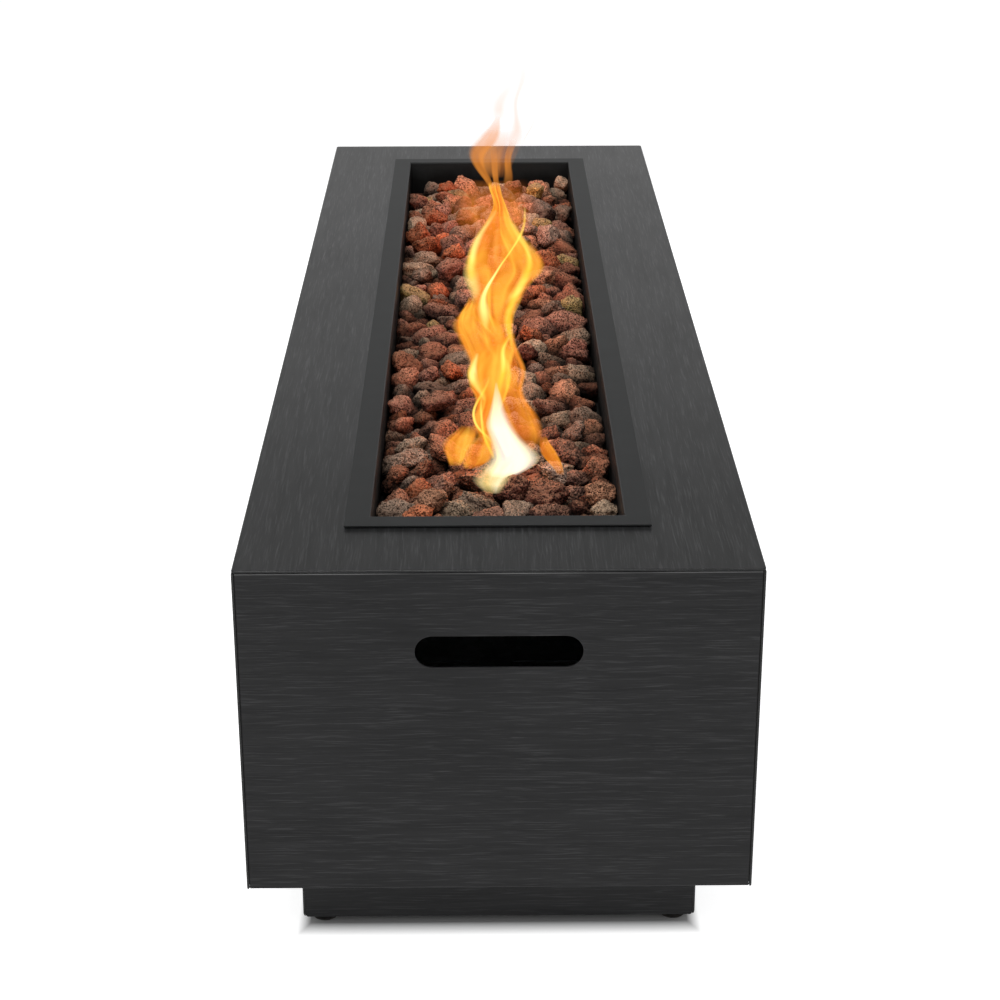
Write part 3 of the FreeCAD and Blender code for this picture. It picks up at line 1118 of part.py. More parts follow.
# Screws: the same pan-head screw holds the base and the plinth, and two sizes serve the niche.
def make_screws():
    seats = [(spot, CASE_BOTTOM) for spot in base_screw_spots()]
    seats += [(spot, f"({LIP_TOP} - plinth_sheet)") for spot in plinth_screw_spots()]
    screws = []
    for index, (spot, seat) in enumerate(seats):
        head = rod(f"screw_head_{index}", "z", "screw_head / 2", spot, (f"{seat} - head_height", seat))
        shank = rod(f"screw_shank_{index}", "z", "screw_diameter / 2", spot,
                    (seat, f"{seat} + screw_length"))
        screws.append(fuse(f"screw_{index}", [head, shank]))
    keep(group("all_base_screws", screws), "base_screws")
    small = []
    for index, spot in enumerate(niche_screw_spots()):
        head = cone(f"sunk_head_{index}", "x",
                    ("small_screw / 2 - screw_gap", "small_screw - screw_gap"), spot, (INSIDE_X, CASE_X))
        shank = rod(f"sunk_shank_{index}", "x", "small_screw / 2 - screw_gap", spot,
                    (f"{INSIDE_X} - screw_length / 2", INSIDE_X))
        small.append(fuse(f"sunk_screw_{index}", [head, shank]))
    for index, spot in enumerate(valve_screw_spots()):
        head = rod(f"valve_head_{index}", "x", "small_screw * 0.9", spot,
                   (PLATE_FRONT, f"{PLATE_FRONT} + head_height"))
        shank = rod(f"valve_shank_{index}", "x", "small_screw / 2", spot,
                    (f"{PLATE_REAR} - screw_length + screw_gap * 2", PLATE_FRONT))
        small.append(fuse(f"valve_screw_{index}", [head, shank]))
    keep(group("all_control_screws", small), "control_screws")


# Lava stones: one layer of separate convex stones on the pan's floor and on the burner. Each row
# holds both colours, dealt out by the stone's place in the grid.
DIRECTIONS = 14


def plan_stones():
    """Centres, girths, half heights and nodes of the stones, on a grid that is shaken about."""
    draw = random.Random(11)
    half_width, half_length = number(OPEN_X), number(OPEN_Y)
    pitch, low, high = number("rock_pitch"), number("rock_low"), number("rock_high")
    columns = 2 * int(half_width / pitch) + 1
    rows = max(1, round(half_length * 2 / pitch))
    across, along = half_width * 2 / columns, half_length * 2 / rows
    burner_top = number(f"{BURNER_Z} + {BURNER_RADIUS}")
    stones = []
    for column in range(columns):
        for row in range(rows):
            shake_x, shake_y = draw.uniform(-0.16, 0.16), draw.uniform(-0.2, 0.2)
            in_middle = column == columns // 2
            x = (column - columns // 2 + (shake_x * 0.3 if in_middle else shake_x)) * across
            y = (row - (rows - 1) / 2 + shake_y) * along
            if not in_middle:
                x = math.copysign(max(abs(x), number(TROUGH_X) + number("fit_gap") * 5), x)
            on_burner = in_middle and abs(y) < number(BURNER_Y)
            seat = burner_top if on_burner else number(PAN_FLOOR)
            if in_middle and not on_burner and abs(y) < number(TROUGH_Y) + pitch / 2:
                continue
            half_height = draw.uniform(low, high) / 2 - (seat - number(PAN_FLOOR)) / 2
            node = "lava_rock_rust" if (column * 3 + row * row) % 5 < 3 else "lava_rock_grey"
            stones.append((Vector(x, y, seat + number("rock_seat") + half_height),
                           draw.uniform(0.84, 1.14) * pitch / 2, half_height, node))
    return stones


def stone_points(stone, neighbours, draw):
    """Corners of one stone: on a lumpy egg, kept short of its neighbours and of the pan's walls."""
    centre, girth, half_height, node = stone
    longer, wider = girth * draw.uniform(1.0, 1.35), girth * draw.uniform(0.95, 1.15)
    swing, spin = draw.uniform(0, math.pi), draw.uniform(0, 2 * math.pi)
    limits = []
    for other, other_girth, *rest in neighbours:
        away = other - centre
        reach = away.Length * girth / (girth + other_girth) - number("rock_gap") / 2
        limits.append((away.normalize(), reach))
    for axis, half in ((Vector(1, 0, 0), number(OPEN_X)), (Vector(0, 1, 0), number(OPEN_Y))):
        for way in (-1, 1):
            limits.append((axis * way, half - number("rock_gap") - centre.dot(axis) * way))
    points = [centre - Vector(0, 0, half_height)]
    for step in range(1, DIRECTIONS):
        up = -1 + (2 * step + 1) / DIRECTIONS + draw.uniform(-0.05, 0.05)
        up = max(-0.93, min(0.97, up))
        heading = spin + step * math.pi * (3 - math.sqrt(5)) + draw.uniform(-0.25, 0.25)
        flat = math.sqrt(1 - up * up)
        way = Vector(flat * math.cos(heading), flat * math.sin(heading), up)
        along = way.x * math.cos(swing) + way.y * math.sin(swing)
        aside = way.y * math.cos(swing) - way.x * math.sin(swing)
        length = 1 / math.sqrt((along / longer) ** 2 + (aside / wider) ** 2 + (up / half_height) ** 2)
        for normal, reach in limits:
            facing = normal.dot(way)
            if facing > 0:
                length = min(length, reach / facing)
        points.append(centre + way * (length * draw.uniform(0.9, 1.0)))
    return points


def hull(points):
    """The convex solid round points, by trying each plane through three of them."""
    faces = []
    for one in range(len(points)):
        for two in range(one + 1, len(points)):
            for three in range(two + 1, len(points)):
                a, b, c = points[one], points[two], points[three]
                normal = (b - a).cross(c - a)
                sides = [normal.dot(p - a) for step, p in enumerate(points) if step not in (one, two, three)]
                if min(sides) > 0 or max(sides) < 0:
                    faces.append(Part.Face(Part.makePolygon([a, b, c, a])))
    solid = Part.makeSolid(Part.makeShell(faces))
    if solid.Volume < 0:
        solid.reverse()
    return solid


def make_stones():
    """Two nodes of stones, by the colour of the lava."""
    stones = plan_stones()
    draw = random.Random(5)
    near = number("rock_pitch") * 2.2
    heaps = {"lava_rock_rust": [], "lava_rock_grey": []}
    for stone in stones:
        neighbours = [other for other in stones
                      if other is not stone and other[0].distanceToPoint(stone[0]) < near]
        heaps[stone[-1]].append(hull(stone_points(stone, neighbours, draw)))
    for node, solids in heaps.items():
        made = doc.addObject("Part::Feature", node + "_heap")
        made.Shape = Part.makeCompound(solids)
        keep(made, node)
        print(node, len(solids), "stones")


make_deck()
make_side_panel("side_panel_left", -1)
make_side_panel("side_panel_right", 1)
make_end_panel("end_panel_near", -1)
make_end_panel("end_panel_far", 1)
make_base_panel()
make_frame()
make_plinth_side("plinth_side_left", -1)
make_plinth_side("plinth_side_right", 1)
make_plinth_end("plinth_end_near", -1)
make_plinth_end("plinth_end_far", 1)
make_feet()
make_pan()
make_burner()
locknuts = [make_mixer(), make_inlet()]
keep(group("two_locknuts", locknuts), "gas_locknuts")
make_sensors()
make_shield()
make_recess()
make_valve()
make_knob()
make_spring("valve_spring", KNOB_SPOT, (CHAMBER_FLOOR, WASHER_REAR), "spring_wire", "spring_diameter", 6)
make_igniter()
make_spring("igniter_spring", IGNITER_SPOT, (BATTERY_FRONT, BUTTON_REAR), "button_wire", "button_coil", 4)
make_leads()
make_screws()
make_stones()

doc.recompute()
for item in doc.Objects:
    if "Invalid" in item.State or "Error" in item.State:
        raise RuntimeError(f"{item.Label} did not build: {item.State}")
for piece in nodes:
    if piece.Shape.isNull() or not piece.Shape.isValid():
        raise RuntimeError(f"{piece.Label} has no sound shape")
os.makedirs("parts", exist_ok=True)
for piece in nodes:
    piece.Shape.exportStep(f"parts/{piece.Label}.step")
print(len(nodes), "nodes")
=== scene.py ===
import json
import math

import bmesh
import bpy
import numpy as np
from mathutils import Matrix, Vector, noise

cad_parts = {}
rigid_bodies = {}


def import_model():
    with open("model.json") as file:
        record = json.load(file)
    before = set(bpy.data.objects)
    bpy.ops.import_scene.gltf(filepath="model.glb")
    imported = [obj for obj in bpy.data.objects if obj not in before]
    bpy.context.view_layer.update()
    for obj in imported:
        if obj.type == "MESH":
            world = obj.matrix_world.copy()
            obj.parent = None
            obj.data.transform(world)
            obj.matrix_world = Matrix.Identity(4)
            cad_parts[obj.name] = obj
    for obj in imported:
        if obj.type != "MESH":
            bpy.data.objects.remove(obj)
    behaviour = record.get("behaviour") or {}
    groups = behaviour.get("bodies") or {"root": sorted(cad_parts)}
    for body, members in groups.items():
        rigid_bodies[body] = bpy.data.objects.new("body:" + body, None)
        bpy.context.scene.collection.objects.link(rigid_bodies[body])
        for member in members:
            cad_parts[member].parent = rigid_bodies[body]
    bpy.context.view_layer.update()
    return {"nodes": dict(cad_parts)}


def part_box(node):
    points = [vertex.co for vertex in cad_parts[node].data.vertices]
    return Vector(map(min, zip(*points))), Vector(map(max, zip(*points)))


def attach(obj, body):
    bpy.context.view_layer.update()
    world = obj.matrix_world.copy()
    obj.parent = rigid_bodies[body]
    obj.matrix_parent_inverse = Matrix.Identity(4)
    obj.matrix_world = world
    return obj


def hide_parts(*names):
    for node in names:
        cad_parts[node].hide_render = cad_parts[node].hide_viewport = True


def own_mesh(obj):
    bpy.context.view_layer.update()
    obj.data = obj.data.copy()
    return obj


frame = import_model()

scene = bpy.context.scene
scene.view_settings.view_transform = "Standard"

# Camera: it stands before the near end, a hand's breadth left of the middle, at the height of a
# seated person's eyes, and looks down the length of the table.
camera = bpy.data.objects.new("camera", bpy.data.cameras.new("camera"))
scene.collection.objects.link(camera)
scene.camera = camera
camera.data.sensor_width = 36
camera.data.lens = 79.42
camera.data.clip_end = 80
camera.location = (-0.0167, -2.7261, 1.2635)
heading = Matrix.Rotation(math.radians(-0.543), 3, "Z")
tilt = Matrix.Rotation(math.radians(90 - 22.392), 3, "X")
roll = Matrix.Rotation(math.radians(-0.091), 3, "Z")
camera.rotation_euler = (heading @ tilt @ roll).to_euler()


# Studio: a white room round a pale floor, with one broad soft lamp above the near left corner.
# The room is white to the eye and in reflections, and dimmer overhead and as a light.
def linear(colour):
    """An sRGB hex colour as linear red, green, blue and alpha."""
    parts = [int(colour[start:start + 2], 16) / 255 for start in (1, 3, 5)]
    return [part / 12.92 if part <= 0.04045 else ((part + 0.055) / 1.055) ** 2.4 for part in parts] + [1.0]


WHITE = linear("#ffffff")


def add(tree, kind, inputs=None, **settings):
    """Adds a node: its settings first, then what each input holds or is fed by."""
    made = tree.nodes.new(kind)
    for name, value in settings.items():
        setattr(made, name, value)
    for name, value in (inputs or {}).items():
        if isinstance(value, bpy.types.NodeSocket):
            tree.links.new(value, made.inputs[name])
        else:
            made.inputs[name].default_value = value
    return made


def number(tree, operation, *values, **settings):
    """The result of a sum on numbers."""
    return add(tree, "ShaderNodeMath", dict(enumerate(values)), operation=operation, **settings).outputs[0]


def vector(tree, operation, *values):
    """The result of a sum on vectors."""
    return add(tree, "ShaderNodeVectorMath", dict(enumerate(values)), operation=operation).outputs[0]


def coordinate(tree, place, axis):
    """A vector's part along one axis."""
    return add(tree, "ShaderNodeSeparateXYZ", {0: place}).outputs[axis]


def ramp(tree, value, low=0.0, high=1.0, start=0.0, end=1.0, smooth=False):
    """A number that goes from start to end as the value goes from low to high."""
    span = {"Value": value, "From Min": low, "From Max": high, "To Min": start, "To Max": end}
    return add(tree, "ShaderNodeMapRange", span,
               interpolation_type="SMOOTHSTEP" if smooth else "LINEAR").outputs[0]


def mix(tree, share, first, second):
    """A share of the way from one number to another."""
    return add(tree, "ShaderNodeMix", {0: share, 2: first, 3: second}).outputs[0]


def blend(tree, share, first, second, **settings):
    """A share of the way from one colour to another, each given in hex or by a socket."""
    first, second = (linear(end) if isinstance(end, str) else end for end in (first, second))
    return add(tree, "ShaderNodeMix", {0: share, 6: first, 7: second}, data_type="RGBA",
               **settings).outputs[2]


def grain(tree, place, size, detail, output=0, **inputs):
    """Noise with clouds of a size in millimetres."""
    return add(tree, "ShaderNodeTexNoise",
               {"Vector": place, "Scale": 1000 / size, "Detail": detail, **inputs}).outputs[output]


def seen_directly(tree):
    """The light path's outputs, and whether a ray comes from the camera, straight or through gas."""
    path = add(tree, "ShaderNodeLightPath").outputs
    return path, number(tree, "MAXIMUM", path["Is Camera Ray"], path["Is Transmission Ray"])


def white_room(tree):
    """White where it is seen or mirrored at eye level, dimmer overhead, and a grey light otherwise."""
    tree.nodes.clear()
    path, seen = seen_directly(tree)
    way = add(tree, "ShaderNodeTexCoord").outputs["Generated"]
    height = ramp(tree, coordinate(tree, way, "Z"), 0.2, 0.41, 1.0, 0.05, smooth=True)
    light, mirrored, plain = (
        add(tree, "ShaderNodeBackground", {"Color": WHITE, "Strength": strength}).outputs[0]
        for strength in (0.55, height, 1.0))
    lit = add(tree, "ShaderNodeMixShader", {0: path["Is Glossy Ray"], 1: light, 2: mirrored})
    both = add(tree, "ShaderNodeMixShader", {0: seen, 1: lit.outputs[0], 2: plain})
    add(tree, "ShaderNodeOutputWorld", {"Surface": both.outputs[0]})


room = bpy.data.worlds.new("white room")
room.use_nodes = True
white_room(room.node_tree)
scene.world = room

lamp = bpy.data.objects.new("soft lamp", bpy.data.lights.new("soft lamp", "SUN"))
lamp.data.energy = 1.6
lamp.data.angle = math.radians(30)
lamp.rotation_euler = (math.radians(13), math.radians(-9), 0)
scene.collection.objects.link(lamp)


def new_material(name, **values):
    """A material, its tree and the place on its object, with plain values on its shader's sockets."""
    made = bpy.data.materials.new(name)
    made.use_nodes = True
    tree = made.node_tree
    for socket, value in values.items():
        tree.nodes["Principled BSDF"].inputs[socket.replace("_", " ")].default_value = value
    return made, tree, add(tree, "ShaderNodeTexCoord").outputs["Object"]


def feed(tree, **fields):
    """Feeds the sockets of a material's shader."""
    for socket, field in fields.items():
        tree.links.new(field, tree.nodes["Principled BSDF"].inputs[socket.replace("_", " ")])


def emboss(tree, strength, distance, height, **settings):
    """Raises a material's surface where the field of heights is high."""
    bump = add(tree, "ShaderNodeBump", {"Strength": strength, "Distance": distance, "Height": height},
               **settings)
    feed(tree, Normal=bump.outputs[0])


FLOOR_REACH = 24.0
# Half sizes of the dark patch below the plinth, and where the glow is whole again beyond its edge.
DARK_HALF_WIDTH, GLOW_HALF_WIDTH = 0.193, 0.206
DARK_HALF_LENGTH, GLOW_HALF_LENGTH = 0.796, 0.82
# The glow near the table and far from it, and the distances between which it weakens.
NEAR_GLOW, FAR_GLOW = 0.84, 0.4
NEAR_REACH, FAR_REACH = 1.6, 2.6
MIRRORED_SHARE = 0.45
floor_mesh = bpy.data.meshes.new("studio_floor")
floor_mesh.from_pydata([(x * FLOOR_REACH, y * FLOOR_REACH, 0)
                        for x, y in ((-1, -1), (1, -1), (1, 1), (-1, 1))], [], [(0, 1, 2, 3)])
floor = bpy.data.objects.new("studio_floor", floor_mesh)
scene.collection.objects.link(floor)
# Matt white paper. To the camera it has a glow of its own, which is painted light: most near the table,
# where it washes out the table's shadow, and none under it, so that it is white and only the deep shade
# close to the plinth stays visible. The edge of the patch without glow round the plinth is a painted outline
# of that shadow. In reflections the glow is weaker, just enough for white.
paper, tree, place = new_material("white_paper", Roughness=0.9, Base_Color=linear("#cfcfcf"),
                                  Specular_IOR_Level=0.0)
across = vector(tree, "ABSOLUTE", place)
# Painted shadow outline: no glow in a patch just larger than the plinth.
beside = ramp(tree, coordinate(tree, across, "X"), DARK_HALF_WIDTH, GLOW_HALF_WIDTH)
beyond = ramp(tree, coordinate(tree, across, "Y"), DARK_HALF_LENGTH, GLOW_HALF_LENGTH)
path, seen = seen_directly(tree)
mirrored = number(tree, "MULTIPLY_ADD", path["Is Glossy Ray"], MIRRORED_SHARE, seen)
strength = number(tree, "MULTIPLY", mirrored, number(tree, "MAXIMUM", beside, beyond))
away = add(tree, "ShaderNodeVectorMath", {0: place}, operation="LENGTH").outputs["Value"]
# Painted light: the glow is strongest near the table, to wash out the table's shadow.
bright = number(tree, "MULTIPLY", strength, ramp(tree, away, NEAR_REACH, FAR_REACH, NEAR_GLOW, FAR_GLOW))
glow = add(tree, "ShaderNodeEmission", {"Color": WHITE, "Strength": bright})
shown = add(tree, "ShaderNodeAddShader", {0: tree.nodes["Principled BSDF"].outputs[0], 1: glow.outputs[0]})
tree.links.new(shown.outputs[0], tree.nodes["Material Output"].inputs["Surface"])
floor_mesh.materials.append(paper)


# Casing: folded steel sheet, brushed in long strokes and coated dark graphite. The strokes run
# along the deck and the sides, and across the two end panels. Real strokes are a few tenths of a
# millimetre wide: they are drawn coarser, so that they show.
STROKE_WIDTH = 1.6
STROKE_LENGTH = 46.0
BAND_WIDTH = 7.0
BAND_LENGTH = 150.0
CLOUD_SIZE = 170.0
WAVE_LENGTH = 70.0
WAVE_DEPTH = 0.0035
# The painted highlight along the end panels' top edge: how far below the top it starts, and the height over
# which it grows to full.
HIGHLIGHT_LINE_DEPTH, HIGHLIGHT_LINE_FADE = 0.0012, 0.0008


def brushed_coat(name, axis, dark, light, sheen, painted_highlight_height=None):
    """A satin coat over brushed steel: sparse, slightly wavy strokes show through as lighter lines on broad
    darker bands, and they break up the reflection a little. Given a height, it also carries a painted
    highlight: a lighter line along the panel's top edge."""
    material, tree, place = new_material(name, Roughness=0.46, Specular_IOR_Level=sheen)
    wave = grain(tree, place, WAVE_LENGTH, 1.0, "Color")
    wavy = vector(tree, "MULTIPLY_ADD", wave, (WAVE_DEPTH,) * 3, place)
    fields = []
    for width, length, detail in ((STROKE_WIDTH, STROKE_LENGTH, 3.0), (BAND_WIDTH, BAND_LENGTH, 2.0),
                                  (CLOUD_SIZE, CLOUD_SIZE, 2.0)):
        scale = [1000 / width] * 3
        scale[axis] = 1000 / length
        fields.append(grain(tree, vector(tree, "MULTIPLY", wavy, scale), 1000, detail, Roughness=0.6))
    strokes = ramp(tree, fields[0], 0.52, 0.76)
    bands, clouds = (ramp(tree, field, 0.3, 0.7) for field in fields[1:])
    share = mix(tree, 0.3, strokes, mix(tree, 0.4, bands, clouds))
    tone = blend(tree, share, dark, light)
    # Painted highlight: a lighter line along the panel's top edge, where the edge would catch the light.
    if painted_highlight_height:
        painted_highlight_line = ramp(tree, coordinate(tree, place, "Z"), painted_highlight_height, painted_highlight_height + HIGHLIGHT_LINE_FADE)
        tone = blend(tree, number(tree, "MULTIPLY", painted_highlight_line, bands), tone, "#8a8a8a")
    feed(tree, Base_Color=tone, Roughness=ramp(tree, share, start=0.38, end=0.3))
    emboss(tree, 0.14, 0.0004, strokes)
    return material


def give(material, *nodes):
    """Puts a material on CAD nodes."""
    for node in nodes:
        for place in frame["nodes"][node].material_slots:
            place.material = material


PANEL_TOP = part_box("end_panel_near")[1].z
# The same coat is given lighter colours on the end panels and plinth ends than on the deck and sides:
# painted light that brightens the end faces.
coat_lengthwise = brushed_coat("graphite_coat_on_lengthwise_brushed_steel", 1, "#191a1a", "#424243", 0.39)
coat_crosswise = brushed_coat("graphite_coat_on_crosswise_brushed_steel", 0, "#1f1f20", "#464647", 0.2,
                              PANEL_TOP - HIGHLIGHT_LINE_DEPTH)
give(coat_lengthwise, "top_panel", "side_panel_left", "side_panel_right", "plinth_side_left",
     "plinth_side_right", "control_recess", "control_plate")
give(coat_crosswise, "end_panel_near", "end_panel_far", "plinth_end_near", "plinth_end_far")


# Frame: welded square tube behind the panels, dipped in black primer. It is matt, with the fine
# orange-peel skin of a dipped coat.
PEEL_SIZE = 2.5
SMUDGE_SIZE = 60.0
primer, tree, place = new_material("black_dip_primer_on_square_tube", Roughness=0.7)
feed(tree, Base_Color=blend(tree, grain(tree, place, SMUDGE_SIZE, 3.0), "#131313", "#262625"))
emboss(tree, 0.3, 0.0002, grain(tree, place, PEEL_SIZE, 1.0))
give(primer, "corner_posts", "top_rail_left", "top_rail_right", "bottom_rail_left", "bottom_rail_right",
     "end_rails", "deck_stiffeners")


# Base panel and heat shield: galvanised sheet, bare. Zinc crystals a finger wide reflect each in
# its own shade of grey.
SPANGLE_SIZE = 14.0
galvanised, tree, place = new_material("galvanised_sheet", Roughness=0.42, Metallic=0.9)
crystals = add(tree, "ShaderNodeTexVoronoi", {"Vector": place, "Scale": 1000 / SPANGLE_SIZE})
grey = add(tree, "ShaderNodeRGBToBW", {0: crystals.outputs["Color"]}).outputs[0]
feed(tree, Base_Color=blend(tree, grey, "#8d9296", "#b9bdc0"),
     Roughness=ramp(tree, grey, start=0.34, end=0.55))
give(galvanised, "base_panel", "heat_shield")


# Screw feet: a moulded rubber pad that a zinc-plated M8 stem turns in, and a nut welded over the
# plinth's flange. The rubber is matt and picks up dust, and the stem's thread shows as fine rings.
DUST_SIZE = 7.0
rubber, tree, place = new_material("moulded_black_rubber", Roughness=0.82)
dust = grain(tree, place, DUST_SIZE, 5.0)
feed(tree, Base_Color=blend(tree, ramp(tree, dust, 0.35, 0.75), "#191715", "#35302b"))
emboss(tree, 0.35, 0.0002, dust)
FEET = [f"{end}_{side}" for end in ("near", "far") for side in ("left", "right")]
give(rubber, *[f"foot_pad_{foot}" for foot in FEET])

THREAD_PITCH = 1.25
threaded, tree, place = new_material("zinc_plated_thread", Roughness=0.3, Metallic=1.0)
turns = number(tree, "MULTIPLY", coordinate(tree, place, "Z"), 2 * math.pi * 1000 / THREAD_PITCH)
depth = ramp(tree, number(tree, "SINE", turns), -1.0)
# The thread's grooves are drawn darker than its crests: painted shade in the grooves.
feed(tree, Base_Color=blend(tree, depth, "#77797c", "#bfc1c3"))
emboss(tree, 0.9, 0.0005, depth)
give(threaded, *[f"foot_stem_{foot}" for foot in FEET])

# Nuts and the thrust washer: zinc-plated steel with a faint yellow and blue cast where the
# passivation is thicker.
CAST_SIZE = 5.0
plated, tree, place = new_material("zinc_plated_steel", Roughness=0.28, Metallic=1.0)
cast = grain(tree, place, CAST_SIZE, 2.0)
feed(tree, Base_Color=blend(tree, ramp(tree, cast, 0.35, 0.65), "#aeb3bb", "#c2beb0"),
     Roughness=ramp(tree, cast, start=0.22, end=0.4))
give(plated, "foot_weld_nuts", "gas_locknuts", "thrust_washer")

# Screws of the base panel: black-passivated steel, dull, so that they don't glint under the casing.
FILM_SIZE = 3.0
black_passivated, tree, place = new_material("black_passivated_steel", Roughness=0.55, Metallic=0.7)
feed(tree, Base_Color=blend(tree, grain(tree, place, FILM_SIZE, 2.0), "#1c1c1d", "#313130"))
give(black_passivated, "base_screws")

# The niche's four countersunk screws: blackened steel with a cross recess, scuffed lighter in patches.
CROSS_HALF, CROSS_ARM = 0.00045, 0.0019
HEAD_RADIUS = 0.0038
SCUFF_SIZE = 1.5
screw_low, screw_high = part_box("control_screws")
middle = (screw_low + screw_high) / 2
reach = (screw_high - screw_low) / 2 - Vector((0, HEAD_RADIUS, HEAD_RADIUS))
blackened, tree, place = new_material("blackened_steel_screw", Roughness=0.38, Metallic=0.8)
folded = vector(tree, "ABSOLUTE", vector(tree, "SUBTRACT", place, middle))
own = vector(tree, "ABSOLUTE", vector(tree, "SUBTRACT", folded, reach))
narrow, wide = (number(tree, which, coordinate(tree, own, "Y"), coordinate(tree, own, "Z"))
                for which in ("MINIMUM", "MAXIMUM"))
in_slot = ramp(tree, narrow, CROSS_HALF - 0.0001, CROSS_HALF + 0.0002, 1.0, 0.0)
in_reach = ramp(tree, wide, CROSS_ARM - 0.0002, CROSS_ARM + 0.0002, 1.0, 0.0)
cross = number(tree, "MULTIPLY", in_slot, in_reach)
metal = blend(tree, grain(tree, place, SCUFF_SIZE, 3.0), "#3a3a3b", "#5b5b5c")
# The cross recess is drawn near black: painted shade in the recess.
feed(tree, Base_Color=blend(tree, cross, metal, "#0a0a0a"))
emboss(tree, 0.8, 0.0008, cross, invert=True)
give(blackened, "control_screws")


# Pan: pressed steel with a flat flange, in smooth heat-proof satin enamel. From a little below the flange
# down, its walls and floor are drawn darker and duller, with a wavering edge.
FLANGE_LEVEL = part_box("burner_pan")[1].z
MOTTLE_SIZE, SKIN_GRAIN = 35.0, 0.9
DARKENING_WANDER = 0.03
PRESSED_EDGE = 0.0012
enamel, tree, place = new_material("satin_heat_proof_enamel", Roughness=0.45, Specular_IOR_Level=0.2)
mottle = grain(tree, place, MOTTLE_SIZE, 5.0)
depth = number(tree, "MULTIPLY_ADD", mottle, DARKENING_WANDER, coordinate(tree, place, "Z"))
# Darker and duller from a little below the flange down.
darker_below_flange = ramp(tree, depth, FLANGE_LEVEL - 0.012, FLANGE_LEVEL + 0.008, 1.0, 0.0)
feed(tree, Base_Color=blend(tree, darker_below_flange, blend(tree, mottle, "#232424", "#2d2e2e"), "#141312"),
     Roughness=ramp(tree, darker_below_flange, start=0.45, end=0.75))
emboss(tree, 0.06, 0.0002, grain(tree, place, SKIN_GRAIN, 1.0))
give(enamel, "burner_pan")
rounded = frame["nodes"]["burner_pan"].modifiers.new("rounded by the press", "BEVEL")
rounded.width = PRESSED_EDGE
rounded.segments = 2
rounded.limit_method = "ANGLE"
rounded.angle_limit = math.radians(50)

# Gasket under the flange: woven glass-fibre tape, grey, with a plain weave of 1.5 mm threads. The
# weave is drawn about three times as coarse, so that it shows on the tape's narrow edge.
YARN = 1.5
weave, tree, place = new_material("woven_glass_fibre_tape", Roughness=0.9)
warp, weft = (add(tree, "ShaderNodeTexWave", {"Vector": place, "Scale": 1000 / YARN / 20},
                  bands_direction=way).outputs["Fac"] for way in ("X", "Y"))
over = number(tree, "MULTIPLY", warp, weft)
# Between the yarn crossings the tape is drawn darker: painted shade between the yarns.
feed(tree, Base_Color=blend(tree, over, "#3c3a37", "#77746d"))
emboss(tree, 0.5, 0.0004, over)
give(weave, "pan_gasket")


# Burner: a drawn stainless tube with a row of flame ports, on folded saddles, and the spark
# bracket and probe beside it. Heat leaves straw, brown and blue bands on the steel.
HEAT_BAND = 80.0
DRAWN_LINES = (1400, 14, 1400)
stainless, tree, place = new_material("heat_tinted_stainless_steel", Roughness=0.36, Metallic=1.0)
heat = grain(tree, place, HEAT_BAND, 3.0)
straw = blend(tree, ramp(tree, heat, 0.36, 0.56), "#a5a29c", "#94795a")
lines = grain(tree, vector(tree, "MULTIPLY", place, DRAWN_LINES), 1000, 2.0)
feed(tree, Base_Color=blend(tree, ramp(tree, heat, 0.56, 0.68), straw, "#5a5f74"),
     Roughness=ramp(tree, lines, start=0.26, end=0.5))
give(stainless, "burner_tube", "burner_end_plugs", "burner_saddles", "sensor_bracket", "electrode_wire",
     "thermocouple_probe", "valve_stem", "igniter_nut")

# Mixer, jet, inlet and valve block: turned or forged brass, left bare. Tool marks run round it,
# and it has browned in patches.
TOOL_MARK = 0.35
BROWNED_PATCH = 12.0
brass, tree, place = new_material("bare_machined_brass", Roughness=0.3, Metallic=1.0)
marks = number(tree, "MULTIPLY", coordinate(tree, place, "Z"), 2 * math.pi * 1000 / TOOL_MARK)
patches = ramp(tree, grain(tree, place, BROWNED_PATCH, 4.0), 0.42, 0.68)
feed(tree, Base_Color=blend(tree, patches, "#c9a75c", "#8d6c3b"),
     Roughness=ramp(tree, patches, start=0.24, end=0.48))
emboss(tree, 0.1, 0.0001, number(tree, "SINE", marks))
give(brass, "gas_mixer", "gas_orifice", "gas_inlet", "valve_body")

# Spark electrode: a glazed ceramic sleeve, off-white, with soot towards its hot end.
CLOUD_OF_SOOT, SOOT_DRIFT, SOOT_FADE = 6.0, 0.02, 0.012
ceramic, tree, place = new_material("glazed_ceramic", Roughness=0.16)
level = number(tree, "MULTIPLY_ADD", grain(tree, place, CLOUD_OF_SOOT, 4.0), SOOT_DRIFT,
               coordinate(tree, place, "Z"))
sleeve_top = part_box("igniter_electrode")[1].z
soot_and_painted_shade = ramp(tree, level, sleeve_top - SOOT_FADE, sleeve_top + SOOT_FADE)
feed(tree, Base_Color=blend(tree, soot_and_painted_shade, "#e2dfd4", "#3a3531"))
give(ceramic, "igniter_electrode")


# Controls: knob, igniter barrel and button are moulded in black nylon with a fine spark-eroded
# texture, polished a little where fingers touch it.
TEXTURE_GRAIN = 0.6
FINGER_MARK = 14.0
nylon, tree, place = new_material("moulded_black_nylon", Roughness=0.5)
touched = grain(tree, place, FINGER_MARK, 2.0)
feed(tree, Base_Color=blend(tree, touched, "#101010", "#1e1e1e"),
     Roughness=ramp(tree, touched, start=0.42, end=0.6))
emboss(tree, 0.25, 0.0001, grain(tree, place, TEXTURE_GRAIN, 2.0))
give(nylon, "control_knob", "igniter_housing", "igniter_button")

